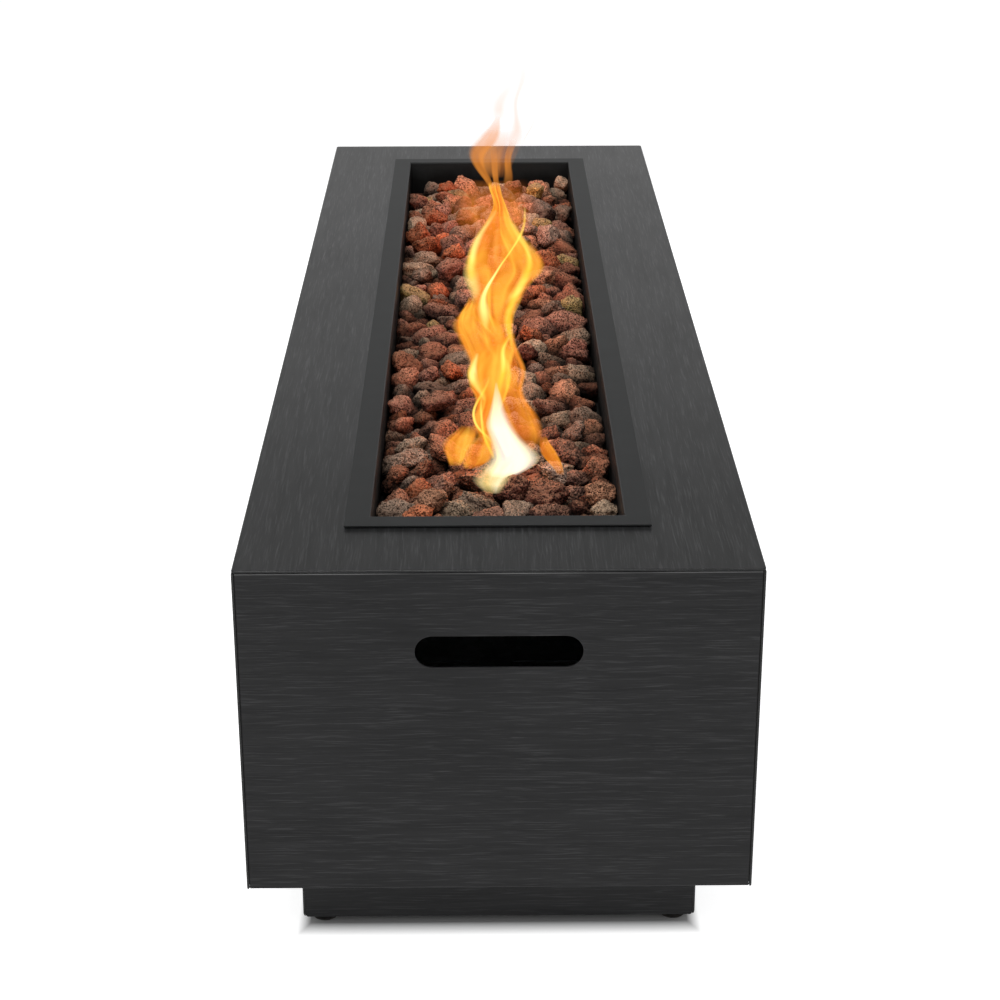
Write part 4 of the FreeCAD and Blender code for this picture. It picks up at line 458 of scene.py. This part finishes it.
# Springs of the valve and the igniter: drawn steel wire, oiled, wound with closed ends.
OIL_SPOT = 3.0
STEPS_PER_TURN, WIRE_SIDES = 40, 14
FLAT_TURNS = 0.75
CLOSED_LIFT = 0.9
wire, tree, place = new_material("drawn_spring_wire", Roughness=0.25, Metallic=1.0)
feed(tree, Base_Color=blend(tree, grain(tree, place, OIL_SPOT, 2.0), "#6f6f70", "#a3a19c"))


def shape(name, corners, faces, material):
    """A smoothly shaded piece of one material, and its mesh."""
    mesh = bpy.data.meshes.new(name)
    mesh.from_pydata(corners, [], faces)
    mesh.shade_smooth()
    mesh.materials.append(material)
    piece = bpy.data.objects.new(name, mesh)
    scene.collection.objects.link(piece)
    return piece, mesh


def compression_spring(node, wire_size, turns):
    """A wound spring with closed ends in place of a CAD node."""
    low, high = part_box(node)
    thick = wire_size / 2
    coil = (high.y - low.y) / 2 - thick
    middle_y, middle_z = (low.y + high.y) / 2, (low.z + high.z) / 2
    steps, sides = turns * STEPS_PER_TURN, WIRE_SIDES
    share = np.linspace(0, 1, steps + 1)
    # the first and last three quarters of a turn lie almost flat, and the rest climbs evenly
    flat = FLAT_TURNS / turns
    open_share = np.clip((share - flat) / (1 - 2 * flat), 0, 1)
    closed = wire_size * CLOSED_LIFT
    along = (low.x + thick + closed * np.clip(share / flat, 0, 1)
             + closed * np.clip((share - 1 + flat) / flat, 0, 1)
             + (high.x - low.x - wire_size - 2 * closed) * open_share)
    turned = share * turns * 2 * math.pi
    corners, faces = [], []
    for x, angle in zip(along, turned):
        out = Vector((0, math.cos(angle), math.sin(angle)))
        for side in range(sides):
            around = 2 * math.pi * side / sides
            corners.append(Vector((x + thick * math.sin(around), middle_y, middle_z))
                           + out * (coil + thick * math.cos(around)))
    for step in range(steps):
        for side in range(sides):
            after = (side + 1) % sides
            faces.append((step * sides + side, step * sides + after,
                          (step + 1) * sides + after, (step + 1) * sides + side))
    faces += [tuple(range(sides)), tuple(steps * sides + side for side in reversed(range(sides)))]
    spring, _ = shape("wound_" + node, [tuple(corner) for corner in corners], faces, wire)
    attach(spring, "casing")
    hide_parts(node)
    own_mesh(spring)


compression_spring("valve_spring", 0.0012, 6)
compression_spring("igniter_spring", 0.0009, 4)

# Battery in the igniter: a steel can in a plain dark sleeve, with a bare cap.
BARE_CAP = 0.0015
SLEEVE_SPECK = 4.0
can, tree, place = new_material("sleeved_battery_can", Roughness=0.35, Metallic=0.3)
can_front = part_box("igniter_battery")[1].x
bare = number(tree, "GREATER_THAN", coordinate(tree, place, "X"), can_front - BARE_CAP)
sleeve = blend(tree, grain(tree, place, SLEEVE_SPECK, 2.0), "#20242b", "#2d323b")
feed(tree, Base_Color=blend(tree, bare, sleeve, "#b9b6ae"))
give(can, "igniter_battery")


# Hoses and leads: ribbed black rubber gas hose and igniter lead, and the bare copper capillary of
# the flame guard. The ribs are drawn a little coarser than real ones.
RIB = 2.2
PATINA_SIZE = 20.0
hose, tree, place = new_material("ribbed_rubber_hose", Roughness=0.66)
fabric = add(tree, "ShaderNodeTexVoronoi", {"Vector": place, "Scale": 1000 / RIB},
             feature="SMOOTH_F1").outputs["Distance"]
# The hollows between the ribs are drawn darker: painted shade in the hollows.
feed(tree, Base_Color=blend(tree, fabric, "#232324", "#121213"))
emboss(tree, 0.5, 0.0005, fabric, invert=True)
give(hose, "supply_hose", "burner_hose", "igniter_lead")

copper, tree, place = new_material("drawn_copper_capillary", Roughness=0.34, Metallic=1.0)
feed(tree, Base_Color=blend(tree, grain(tree, place, PATINA_SIZE, 3.0), "#c98763", "#7d4a36"))
give(copper, "thermocouple_lead")


# Lava stones: broken and tumbled volcanic slag, 25 to 45 mm, poured over the burner. Each stone
# is a blunt lump with a few struck faces, full of gas pores, in its own shade of rust, salmon,
# maroon, tan, olive or grey-brown.
STONES = 430
RUST_SHARE = 0.62
HEAPS = 8
# Nearer than this the stones are finer meshes.
NEAR_STONES = -0.45
STONE_SMALL, STONE_LARGE = 0.0125, 0.0225
# Half width, half length and floor of the bed, the level it is filled to, and its highest point.
BED_X, BED_Y, BED_FLOOR = 0.1245, 0.7245, 0.3583
BED_TOP, BED_PEAK = 0.403, 0.412
BURNER_TOP, BURNER_HALF = 0.3606, 0.034
# How the stones settle: steps, how far each sinks in one, and how much of an overlap it gives way.
SETTLING_STEPS, SINKING, GIVING_WAY = 420, 0.0004, 0.36
CLOSENESS = 0.95


def poured_bed(draw):
    """Centres and radii of the stones after they have pushed each other apart and sunk down."""
    radii = draw.uniform(0, 1, STONES) ** 1.5 * (STONE_LARGE - STONE_SMALL) + STONE_SMALL
    spots = np.column_stack([draw.uniform(-1, 1, STONES) * (BED_X - radii),
                             draw.uniform(-1, 1, STONES) * (BED_Y - radii),
                             draw.uniform(BED_FLOOR + 0.012, BED_TOP + 0.02, STONES)])
    touch = (radii[:, None] + radii[None, :]) * CLOSENESS
    np.fill_diagonal(touch, 0)
    highest = BED_TOP + draw.uniform(-0.006, 0.004, STONES)
    for _ in range(SETTLING_STEPS):
        spots[:, 2] -= SINKING
        apart = spots[:, None, :] - spots[None, :, :]
        gap = np.sqrt((apart ** 2).sum(2)) + 1e-9
        push = np.clip(touch - gap, 0, None) / gap * GIVING_WAY
        spots += (apart * push[:, :, None]).sum(1)
        spots[:, 0] = np.clip(spots[:, 0], radii * CLOSENESS - BED_X, BED_X - radii * CLOSENESS)
        spots[:, 1] = np.clip(spots[:, 1], radii * CLOSENESS - BED_Y, BED_Y - radii * CLOSENESS)
        ground = np.where(np.abs(spots[:, 0]) < BURNER_HALF, BURNER_TOP, BED_FLOOR) + radii * 0.75
        spots[:, 2] = np.clip(spots[:, 2], ground, np.maximum(ground, highest - radii * 0.85))
    return spots, radii


def ball_points(rounds):
    """The corners and faces of a ball of triangles."""
    made = bpy.data.meshes.new("ball")
    work = bmesh.new()
    bmesh.ops.create_icosphere(work, subdivisions=rounds, radius=1)
    work.to_mesh(made)
    work.free()
    corners = np.array([corner.co for corner in made.vertices])
    faces = np.array([list(face.vertices) for face in made.polygons])
    bpy.data.meshes.remove(made)
    return corners, faces


STRUCK_FACES = 13


def stone_corners(ball, radius, draw):
    """A lump between struck faces that lie all round it, worn blunt, then lumped and pitted."""
    strikes = draw.normal(0, 1, (STRUCK_FACES, 3))
    strikes /= np.linalg.norm(strikes, axis=1)[:, None]
    depths = draw.uniform(0.7, 1.08, STRUCK_FACES)
    blunt = draw.uniform(7, 15)
    facing = np.clip(ball @ strikes.T, 0, None) / depths
    reach = ((facing ** blunt).sum(1) + 0.82 ** blunt) ** (-1 / blunt)
    stretch = np.array([draw.uniform(1.05, 1.5), draw.uniform(0.85, 1.1), draw.uniform(0.72, 0.95)])
    stretch /= stretch.prod() ** (1 / 3)
    turn = np.array(Matrix.Rotation(draw.uniform(0, 2 * math.pi), 3, "Z")
                    @ Matrix.Rotation(draw.normal(0, 0.4), 3, "Y")
                    @ Matrix.Rotation(draw.normal(0, 0.5), 3, "X"))
    seed = Vector(draw.uniform(-50, 50, 3))
    lump = np.empty(len(ball))
    for index, way in enumerate(ball):
        spot = Vector(way)
        pit = noise.voronoi(spot * 4.4 + seed)[0][0]
        lump[index] = (noise.noise(spot * 1.3 + seed) * 0.2 + noise.noise(spot * 3.1 + seed) * 0.12
                       - max(0, 0.42 - pit) * 0.5 + noise.noise(spot * 7.5 + seed) * 0.09)
    return (ball * (reach * (1 + lump))[:, None] * stretch) @ turn.T * radius


RUST_SHADES = ("#8d5a45", "#ab6f58", "#7c4a3b", "#aa5c3a", "#a67a6a", "#6a3f34", "#c08a6c", "#8f6558")
GREY_SHADES = ("#8c7263", "#a28873", "#7a6254", "#ad937a", "#a08850", "#655048", "#9c8071", "#bba288")


# Heights between which the painted shade in the gaps of the bed fades out upwards.
DEEPEST_PAINTED_SHADE_LEVEL, UNSHADED_LEVEL = 0.372, 0.392


def porous_lava(name, pore, dust_and_top_light_colour):
    """Dull porous rock: pores of two sizes drawn dark, which is painted shade in them, a mottled body in the
    stone's own colour, a paler colour on what faces up, which is partly pale grit and partly painted light
    on the tops, and painted shade in the gaps below, darker the lower a stone lies. Pores are given in
    millimetres, and are drawn a little larger than most real ones."""
    material, tree, place = new_material(name, Roughness=0.93, Specular_IOR_Level=0.2)
    shade = add(tree, "ShaderNodeVertexColor", layer_name="shade").outputs["Color"]
    bent = vector(tree, "MULTIPLY_ADD", grain(tree, place, 6.0, 2.0, "Color"), (0.0022,) * 3, place)
    large, small = (add(tree, "ShaderNodeTexVoronoi", {"Vector": bent, "Scale": 1000 / (pore * size)})
                    .outputs["Distance"] for size in (1.7, 0.9))
    # The pores are drawn dark: painted shade in them.
    deep = ramp(tree, large, 0.2, 0.42, smooth=True)
    holes = number(tree, "MULTIPLY", deep, ramp(tree, small, 0.16, 0.45, smooth=True))
    worn = ramp(tree, grain(tree, place, 24.0, 2.0), 0.5, 0.68, 0.0, 0.6)
    body = mix(tree, worn, holes, 1.0)
    mottle = grain(tree, place, 9.0, 6.0, Roughness=0.72)
    stain = ramp(tree, mottle, 0.32, 0.7, 0.5, 1.5)
    specks = ramp(tree, grain(tree, place, 1.6, 2.0), 0.34, 0.7, 0.55, 1.6)
    rock = blend(tree, 1.0, shade, number(tree, "MULTIPLY", stain, specks), blend_type="MULTIPLY")
    # What faces up is drawn paler: partly pale grit, partly painted light on the stones' tops.
    up = coordinate(tree, add(tree, "ShaderNodeNewGeometry").outputs["Normal"], "Z")
    dust_and_painted_top_light = blend(tree, ramp(tree, up, 0.2, 1.0, 0.0, 0.4), rock, dust_and_top_light_colour)
    level = coordinate(tree, place, "Z")
    # Painted shade in the gaps of the bed: the lower a stone lies, the darker it is drawn.
    soot_and_painted_shade = ramp(tree, level, DEEPEST_PAINTED_SHADE_LEVEL, UNSHADED_LEVEL, 0.12, 1.0, smooth=True)
    dark = number(tree, "MULTIPLY", ramp(tree, body, start=0.22, end=1.0), soot_and_painted_shade)
    feed(tree, Base_Color=blend(tree, 1.0, dust_and_painted_top_light, dark, blend_type="MULTIPLY"))
    emboss(tree, 1.0, 0.0016, number(tree, "MULTIPLY_ADD", mottle, 0.6, body))
    return material


def make_stones():
    """The whole bed as a few heaps, rust coloured and grey, each standing for its CAD node."""
    draw = np.random.default_rng(20)
    noise.seed_set(7)
    spots, radii = poured_bed(draw)
    coarse, fine = ball_points(4), ball_points(5)
    shades = {"rust": RUST_SHADES, "grey": GREY_SHADES}
    lava = {"rust": porous_lava("rust_red_lava", 1.9, "#bd8a6a"),
            "grey": porous_lava("grey_lava", 1.7, "#b59c84")}
    heaps = {}
    for spot, radius in zip(spots, radii):
        kind = "rust" if draw.uniform() < RUST_SHARE else "grey"
        ball, faces = fine if spot[1] < NEAR_STONES else coarse
        corners = stone_corners(ball, radius, draw) + spot
        corners[:, 0] = np.clip(corners[:, 0], -BED_X, BED_X)
        corners[:, 1] = np.clip(corners[:, 1], -BED_Y, BED_Y)
        corners[:, 2] = np.clip(corners[:, 2], BED_FLOOR - 0.0002, BED_PEAK)
        shade = np.array(linear(shades[kind][draw.integers(8)])) * draw.uniform(0.55, 1.35)
        heaps.setdefault(kind, []).append((spot[1], corners, faces, shade))
    for kind, stones in heaps.items():
        stones.sort(key=lambda stone: stone[0])
        for part in range(HEAPS):
            first, last = len(stones) * part // HEAPS, len(stones) * (part + 1) // HEAPS
            fill_heap(kind, part, stones[first:last], lava[kind])


def fill_heap(kind, part, stones, material):
    """One mesh of neighbouring stones of a kind, each with its own shade."""
    starts = np.cumsum([0] + [len(corners) for _, corners, _, _ in stones])
    corners = np.vstack([corners for _, corners, _, _ in stones])
    faces = np.vstack([faces + start for (_, _, faces, _), start in zip(stones, starts)])
    heap, mesh = shape(f"lava_{kind}_{part}", corners.tolist(), faces.tolist(), material)
    colours = mesh.color_attributes.new("shade", "FLOAT_COLOR", "POINT")
    tones = np.vstack([np.tile(shade, (len(corners), 1)) for _, corners, _, shade in stones])
    tones[:, 3] = 1
    colours.data.foreach_set("color", tones.astype(np.float32).ravel())
    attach(heap, "casing")
    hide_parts(f"lava_rock_{kind}")


make_stones()


# Flame: burning gas above the near end of the burner, lit for the picture. It isn't part of the table. Broad
# orange veils carry bright folds, a white root stands on the stones, and the tips thin out above the deck.
FLAME_FOOT = 0.395
FLAME_Y = -0.540
TONGUE_ROWS, TONGUE_SIDES = 60, 16
STREAK_WIDTH, STREAK_LENGTH = 0.014, 0.06
# Outlines are smoothed over this height. A sheet bows by a share of its half width, and sways.
SMOOTHING = 0.007
BOW = 0.6
SWAY, SWAY_RATE = 0.006, 25
# Height above the foot, middle and half width of each tongue, in millimetres from the foot up.
TONGUES = {
    "veil_upper": [(153, 7, 9), (158, 5, 14), (166, 2, 19), (172, 0, 21), (178, 0, 23), (184, 1, 25),
        (190, 1, 28), (196, 2, 31), (202, 3, 33), (207, 4, 36), (212, 6, 38), (217, 9, 42), (221, 11, 43),
        (227, 11, 43), (232, 10, 41), (237, 9, 39), (242, 7, 36), (247, 6, 32), (252, 5, 28), (257, 4, 25),
        (262, 4, 21), (267, 3, 18), (272, 3, 15), (277, 3, 12), (282, 4, 10), (287, 5, 7), (292, 4, 6),
        (297, 2, 6), (302, 1, 6), (307, -1, 7), (311, -2, 7), (315, -2, 5)],
    "veil_mid": [(106, -7, 24), (112, -6, 24), (120, -5, 25), (126, -7, 27), (136, -10, 30), (144, -12, 31),
        (152, -15, 32), (157, -18, 30), (162, -21, 27), (168, -23, 21), (173, -23, 15), (178, -22, 11),
        (183, -21, 8), (189, -21, 7)],
    "veil_low": [(13, 18, 28), (18, 16, 31), (26, 15, 35), (34, 13, 38), (42, 12, 39), (50, 9, 37),
        (58, 8, 35), (66, 7, 31), (73, 5, 27), (83, 2, 28), (93, 0, 31), (101, 1, 33), (108, 1, 32),
        (117, 0, 29), (125, 0, 25), (134, 2, 22), (143, 5, 16), (151, 8, 12)],
    "lobe_left": [(15, -45, 4), (19, -43, 9), (25, -42, 12), (30, -43, 14), (36, -43, 17), (41, -40, 20),
        (46, -37, 20), (51, -33, 16), (56, -28, 10), (60, -25, 5)],
    "lobe_inner": [(12, -31, 3), (16, -27, 9), (20, -20, 18), (26, -19, 19), (32, -18, 18), (37, -16, 16),
        (43, -15, 13), (49, -12, 8), (53, -11, 4)],
    "lobe_right": [(3, 70, 3), (9, 67, 5), (16, 63, 7), (23, 58, 9), (28, 55, 10), (33, 53, 9),
        (38, 51, 7), (43, 49, 4), (47, 48, 2)],
    "left_rim": [(202, -20, 3), (206, -21, 6), (211, -21, 7), (217, -23, 9), (222, -24, 10), (229, -26, 9),
        (236, -26, 8), (243, -25, 7), (250, -24, 6), (257, -22, 6), (264, -19, 6), (271, -15, 5),
        (278, -10, 4), (285, -5, 4), (291, -1, 3), (295, 2, 2)],
    "right_rim": [(152, 15, 2), (159, 15, 3), (167, 14, 4), (170, 13, 5), (176, 12, 6), (182, 12, 7),
        (189, 13, 7), (196, 14, 7), (203, 17, 7), (211, 21, 7), (218, 25, 7), (224, 29, 7), (230, 32, 7),
        (236, 34, 6), (242, 35, 6), (248, 33, 4), (252, 32, 4), (257, 30, 4), (261, 27, 6), (266, 23, 7),
        (272, 20, 7), (278, 16, 6), (284, 13, 5), (289, 11, 3), (295, 9, 2)],
    "right_low": [(39, 42, 3), (48, 44, 5), (58, 44, 7), (68, 41, 7), (78, 37, 6), (88, 30, 5), (98, 24, 5),
        (108, 24, 4), (117, 28, 4), (127, 28, 4), (136, 23, 4), (145, 20, 4), (154, 16, 4), (162, 14, 3)],
    "hook": [(171, -9, 2), (177, -11, 4), (182, -11, 7), (188, -12, 8), (196, -13, 7), (203, -14, 5),
        (209, -13, 4), (214, -11, 3), (220, -8, 3), (226, -4, 2), (232, 0, 2), (238, 3, 2), (244, 7, 2),
        (249, 11, 2), (255, 15, 2), (261, 19, 2), (267, 23, 3), (271, 25, 3), (276, 27, 3), (281, 29, 2),
        (287, 29, 2), (294, 29, 2), (299, 29, 1)],
    "pale_middle": [(228, 1, 2), (234, 1, 4), (241, 0, 5), (251, 0, 6), (261, 1, 5), (269, 2, 4),
        (276, 4, 2)],
    "cross": [(99, 2, 3), (106, 3, 4), (114, 5, 5), (123, 7, 5), (131, 8, 5), (139, 7, 4), (146, 6, 3),
        (153, 7, 3), (159, 10, 4), (165, 14, 4), (172, 16, 3)],
    "left_low": [(91, -10, 2), (96, -13, 3), (103, -17, 5), (109, -21, 6), (116, -25, 7), (124, -26, 7),
        (132, -24, 5), (139, -20, 4), (145, -18, 2)],
    "loop_outer": [(45, 0, 2), (48, -3, 2), (53, -10, 3), (58, -16, 3), (66, -22, 2), (74, -24, 2),
        (82, -24, 2), (90, -20, 2), (98, -15, 3), (106, -11, 3), (113, -8, 2), (119, -5, 2)],
    "loop_inner": [(32, 0, 3), (38, -4, 3), (45, -8, 3), (52, -11, 3), (62, -14, 3), (71, -15, 2),
        (83, -16, 2), (92, -16, 2), (102, -14, 2)],
    "mid_right": [(89, 7, 2), (94, 8, 3), (102, 11, 3), (112, 13, 4), (123, 14, 4), (133, 12, 3),
        (139, 10, 2)],
    "core": [(10, 2, 12), (13, 5, 19), (16, 9, 25), (20, 13, 30), (24, 17, 31), (29, 20, 30), (35, 20, 29),
        (40, 17, 25), (45, 13, 21), (52, 9, 18), (58, 6, 17), (65, 3, 16), (72, 2, 13), (80, 1, 9),
        (88, 1, 7), (97, 1, 5), (105, 0, 2), (112, 0, 1)],
    "core_foot": [(3, -2, 5), (6, -3, 10), (10, -6, 17), (14, -7, 21), (18, -6, 23), (22, -4, 24),
        (26, -1, 24), (30, 2, 22), (35, 6, 19), (40, 8, 13)],
    "top_left": [(314, -3, 2), (319, -6, 3), (323, -9, 5), (328, -12, 6), (332, -15, 6), (337, -17, 7),
        (341, -19, 8), (346, -19, 9), (351, -17, 11), (355, -14, 14), (357, -11, 15), (361, -8, 14),
        (365, -5, 12), (370, -3, 10), (374, 0, 6), (379, 2, 3), (382, 3, 1), (384, 4, 1)],
    "top_middle": [(312, 1, 3), (316, 1, 3), (322, 0, 4), (328, -1, 4), (333, -1, 4), (339, -1, 4),
        (345, -2, 4), (350, -2, 4), (354, -3, 5)],
    "top_right": [(316, 11, 6), (321, 13, 6), (325, 14, 5), (331, 13, 5), (336, 12, 4), (340, 12, 4),
        (345, 12, 4), (349, 13, 5), (354, 16, 5), (357, 18, 5), (361, 20, 5)],
    "top_haze": [(320, 1, 9), (325, 0, 15), (330, -2, 20), (335, -3, 23), (339, -4, 26), (344, -3, 28),
        (349, -2, 29), (354, 0, 29), (357, 2, 27), (361, 5, 25), (364, 8, 21), (368, 10, 17), (370, 11, 14)],
    "wisp_right": [(353, 17, 14), (359, 19, 11), (363, 21, 10), (368, 22, 8), (372, 22, 7), (375, 22, 5),
        (380, 21, 4), (385, 21, 3), (390, 20, 3), (395, 20, 3), (399, 20, 3), (404, 21, 3), (409, 23, 3),
        (413, 25, 3), (418, 26, 4), (423, 28, 4), (427, 28, 4), (433, 28, 5), (438, 27, 6)],
    "wisp_thin": [(355, 25, 2), (360, 29, 2), (365, 32, 1), (369, 35, 1), (374, 37, 1), (379, 40, 1),
        (382, 42, 1)],
    "wisp_left": [(376, 0, 6), (380, 2, 7), (385, 3, 8), (390, 3, 8), (394, 3, 8), (399, 4, 8), (404, 7, 8),
        (408, 10, 7), (413, 15, 6), (416, 18, 5)],
    "veil_inner": [(25, -5, 5), (34, -8, 9), (46, -11, 12), (59, -12, 14), (73, -8, 16), (84, -5, 18),
        (95, -8, 23), (108, -8, 24), (123, -5, 24), (134, -2, 23), (143, 1, 22)],
    "right_outer": [(219, 37, 4), (224, 41, 6), (230, 44, 8), (236, 45, 7), (242, 44, 6), (248, 41, 6),
        (255, 35, 4), (261, 29, 3)],
    "neck_glow": [(238, 4, 20), (248, 2, 34), (258, 0, 45), (268, -2, 52), (278, -3, 54), (288, -3, 54),
        (298, -2, 50), (306, 0, 42), (313, 2, 30)],
}


THIN_SHARE, DENSE_SHARE = 0.75, 1.2


def burning_gas(name, cool, hot, thick, glow, hides, soft):
    """Glowing gas: it adds its light to what lies behind and hides a share of that. It is streaked
    along its flow, hotter in the streaks, and thins out towards its sides and ends."""
    made = bpy.data.materials.new(name)
    made.use_nodes = True
    tree = made.node_tree
    tree.nodes.clear()
    inside, ends = (add(tree, "ShaderNodeAttribute", attribute_name=field).outputs["Fac"]
                    for field in ("inside", "ends"))
    flow = add(tree, "ShaderNodeAttribute", attribute_name="flow").outputs["Vector"]
    streak = grain(tree, flow, 1000, 2.0, Distortion=0.7)
    sides = ramp(tree, number(tree, "MULTIPLY_ADD", streak, 0.5, inside), 0.25, 0.25 + soft, smooth=True)
    rim = ramp(tree, inside, 0.05, 0.3, 0.22, 0.0, smooth=True)
    heat = ramp(tree, number(tree, "ADD", streak, rim), 0.42, 0.7)
    cover = ramp(tree, streak, 0.3, 0.7, THIN_SHARE * thick, DENSE_SHARE * thick)
    for factor in (sides, ramp(tree, inside, 0.0, 0.12), ends,
                   add(tree, "ShaderNodeLightPath").outputs["Is Camera Ray"]):
        cover = number(tree, "MULTIPLY", cover, factor)
    left = number(tree, "MULTIPLY_ADD", cover, -hides, 1.0, use_clamp=True)
    light = add(tree, "ShaderNodeEmission", {"Color": blend(tree, heat, cool, hot),
                                             "Strength": number(tree, "MULTIPLY", cover, glow)})
    clear = add(tree, "ShaderNodeBsdfTransparent", {"Color": left})
    both = add(tree, "ShaderNodeAddShader", {0: clear.outputs[0], 1: light.outputs[0]})
    add(tree, "ShaderNodeOutputMaterial", {"Surface": both.outputs[0]})
    return made


def tongue(name, material, behind, soft_foot, soft_tip):
    """A curved sheet through the stations, bowed towards the near end and gently swaying."""
    stations = np.array(TONGUES[name], float) / 1000
    rows = np.linspace(stations[0, 0], stations[-1, 0], TONGUE_ROWS)
    blur = np.exp(-((rows[:, None] - rows[None, :]) / SMOOTHING) ** 2)
    blur /= blur.sum(1)[:, None]
    middle, half = (blur @ np.interp(rows, stations[:, 0], stations[:, column]) for column in (1, 2))
    broad = half.mean()
    corners, flow, inside, ends = [], [], [], []
    for row, x, wide in zip(rows, middle, half):
        near_end = min(1, (row - rows[0]) / soft_foot, (rows[-1] - row) / soft_tip)
        sway = SWAY * math.sin(row * SWAY_RATE + behind * 200)
        for angle in np.linspace(0, math.pi, TONGUE_SIDES):
            side = math.cos(angle)
            corners.append((x + wide * side, FLAME_Y + behind + sway - BOW * wide * math.sin(angle),
                            FLAME_FOOT + row))
            flow.append((broad * side / STREAK_WIDTH, behind * 300, row / STREAK_LENGTH))
            inside.append(1 - abs(side))
            ends.append(max(0, near_end) ** 0.7)
    faces = []
    for row in range(TONGUE_ROWS - 1):
        for side in range(TONGUE_SIDES - 1):
            start = row * TONGUE_SIDES + side
            faces.append((start, start + 1, start + TONGUE_SIDES + 1, start + TONGUE_SIDES))
    made, mesh = shape(f"flame_{name}", corners, faces, material)
    mesh.attributes.new("flow", "FLOAT_VECTOR", "POINT").data.foreach_set("vector", np.ravel(flow))
    mesh.attributes.new("inside", "FLOAT", "POINT").data.foreach_set("value", inside)
    mesh.attributes.new("ends", "FLOAT", "POINT").data.foreach_set("value", ends)


# Each gas: its cooler and hotter colour, how thick it is, how bright, the share that it hides of what
# lies behind, and how soft its sides are.
veil = burning_gas("orange_burning_gas", "#f08622", "#ffba42", 0.92, 1.15, 0.85, 0.3)
thin_veil = burning_gas("thin_orange_burning_gas", "#ee7a1c", "#ffa02e", 0.7, 1.1, 0.8, 0.4)
lobe = burning_gas("soft_orange_burning_gas", "#f08420", "#ffb440", 0.8, 1.15, 0.8, 0.45)
fold = burning_gas("yellow_burning_gas", "#ffc03a", "#ffe070", 0.85, 1.4, 0.8, 1.0)
bright_fold = burning_gas("pale_yellow_burning_gas", "#ffd458", "#fff09c", 0.85, 1.55, 0.85, 1.0)
amber_fold = burning_gas("amber_burning_gas", "#f58a26", "#ffae44", 0.75, 1.15, 0.6, 1.0)
pale_fold = burning_gas("pale_orange_burning_gas", "#ffb04e", "#ffc878", 0.5, 1.1, 0.6, 1.0)
tip = burning_gas("tip_of_burning_gas", "#f09238", "#f9a046", 0.6, 1.05, 1.0, 0.5)
haze = burning_gas("faint_burning_gas", "#e0843c", "#ee984a", 0.5, 1.12, 1.0, 0.8)
neck_haze = burning_gas("thin_amber_burning_gas", "#e07a26", "#f08c34", 0.42, 1.5, 0.75, 0.9)
wisp = burning_gas("spent_gas", "#f4964a", "#f8a65a", 0.34, 1.15, 1.05, 0.9)
root = burning_gas("white_burning_gas", "#fff0e0", "#fff4bc", 1.0, 1.4, 0.95, 0.7)
root_glow = burning_gas("cream_burning_gas", "#ffe490", "#fff4c4", 0.75, 1.2, 0.7, 0.8)
# Each tongue: its gas, how far it stands behind the flame's middle, and the lengths over which its
# foot and its tip fade, in metres.
for name, gas, behind, foot, far in (
        ("veil_low", thin_veil, 0.03, 0.03, 0.015), ("veil_mid", veil, 0.02, 0.012, 0.01),
        ("veil_inner", veil, 0.015, 0.05, 0.02), ("veil_upper", veil, 0.01, 0.015, 0.006),
        ("lobe_left", lobe, -0.01, 0.008, 0.01),
        ("lobe_inner", lobe, -0.02, 0.008, 0.01), ("lobe_right", thin_veil, -0.01, 0.015, 0.01),
        ("left_rim", bright_fold, -0.03, 0.04, 0.05), ("right_rim", fold, -0.03, 0.02, 0.05),
        ("right_outer", amber_fold, -0.02, 0.04, 0.04),
        ("right_low", amber_fold, -0.02, 0.04, 0.02), ("hook", bright_fold, -0.035, 0.03, 0.03),
        ("pale_middle", pale_fold, -0.015, 0.03, 0.03), ("cross", fold, -0.03, 0.02, 0.02),
        ("left_low", bright_fold, -0.025, 0.03, 0.02), ("loop_outer", fold, -0.035, 0.02, 0.03),
        ("loop_inner", fold, -0.04, 0.02, 0.03), ("mid_right", fold, -0.03, 0.02, 0.02),
        ("core", root, -0.032, 0.008, 0.05), ("core_foot", root_glow, -0.063, 0.012, 0.01),
        ("top_left", tip, -0.01, 0.008, 0.017), ("top_middle", tip, -0.005, 0.008, 0.03),
        ("top_right", tip, -0.01, 0.02, 0.022), ("top_haze", haze, 0.01, 0.02, 0.024),
        ("wisp_right", wisp, 0.0, 0.02, 0.09), ("wisp_thin", wisp, 0.005, 0.02, 0.03),
        ("wisp_left", wisp, 0.005, 0.03, 0.05), ("neck_glow", neck_haze, 0.04, 0.04, 0.03)):
    tongue(name, gas, behind, foot, far)

# The flame's light: small warm lamps inside it and low along the burner, for the stones alone. Each
# has its place in metres, its watts and its colour.
lit_stones = bpy.data.collections.new("stones lit by the flame")
for heap in [piece for piece in scene.objects if piece.name.startswith("lava_")]:
    lit_stones.objects.link(heap)
for x, y, z, watts, glow in ((0.0, -0.575, 0.43, 0.05, "#ffd9a0"), (0.008, -0.52, 0.45, 0.2, "#ff8a3a"),
                             (0.0, -0.42, 0.455, 0.16, "#ff8a3a"), (0.0, -0.25, 0.46, 0.18, "#ff8a3a"),
                             (0.0, -0.05, 0.47, 0.22, "#ff8a3a"), (0.0, 0.15, 0.47, 0.28, "#ff8434"),
                             (0.0, 0.38, 0.48, 0.36, "#ff7c2c"), (0.0, 0.6, 0.48, 0.34, "#ff7c2c")):
    warm = bpy.data.objects.new("flame light", bpy.data.lights.new("flame light", "POINT"))
    warm.data.energy = watts
    warm.data.color = linear(glow)[:3]
    warm.data.shadow_soft_size = 0.03
    warm.location = (x, y, z)
    warm.light_linking.receiver_collection = lit_stones
    scene.collection.objects.link(warm)
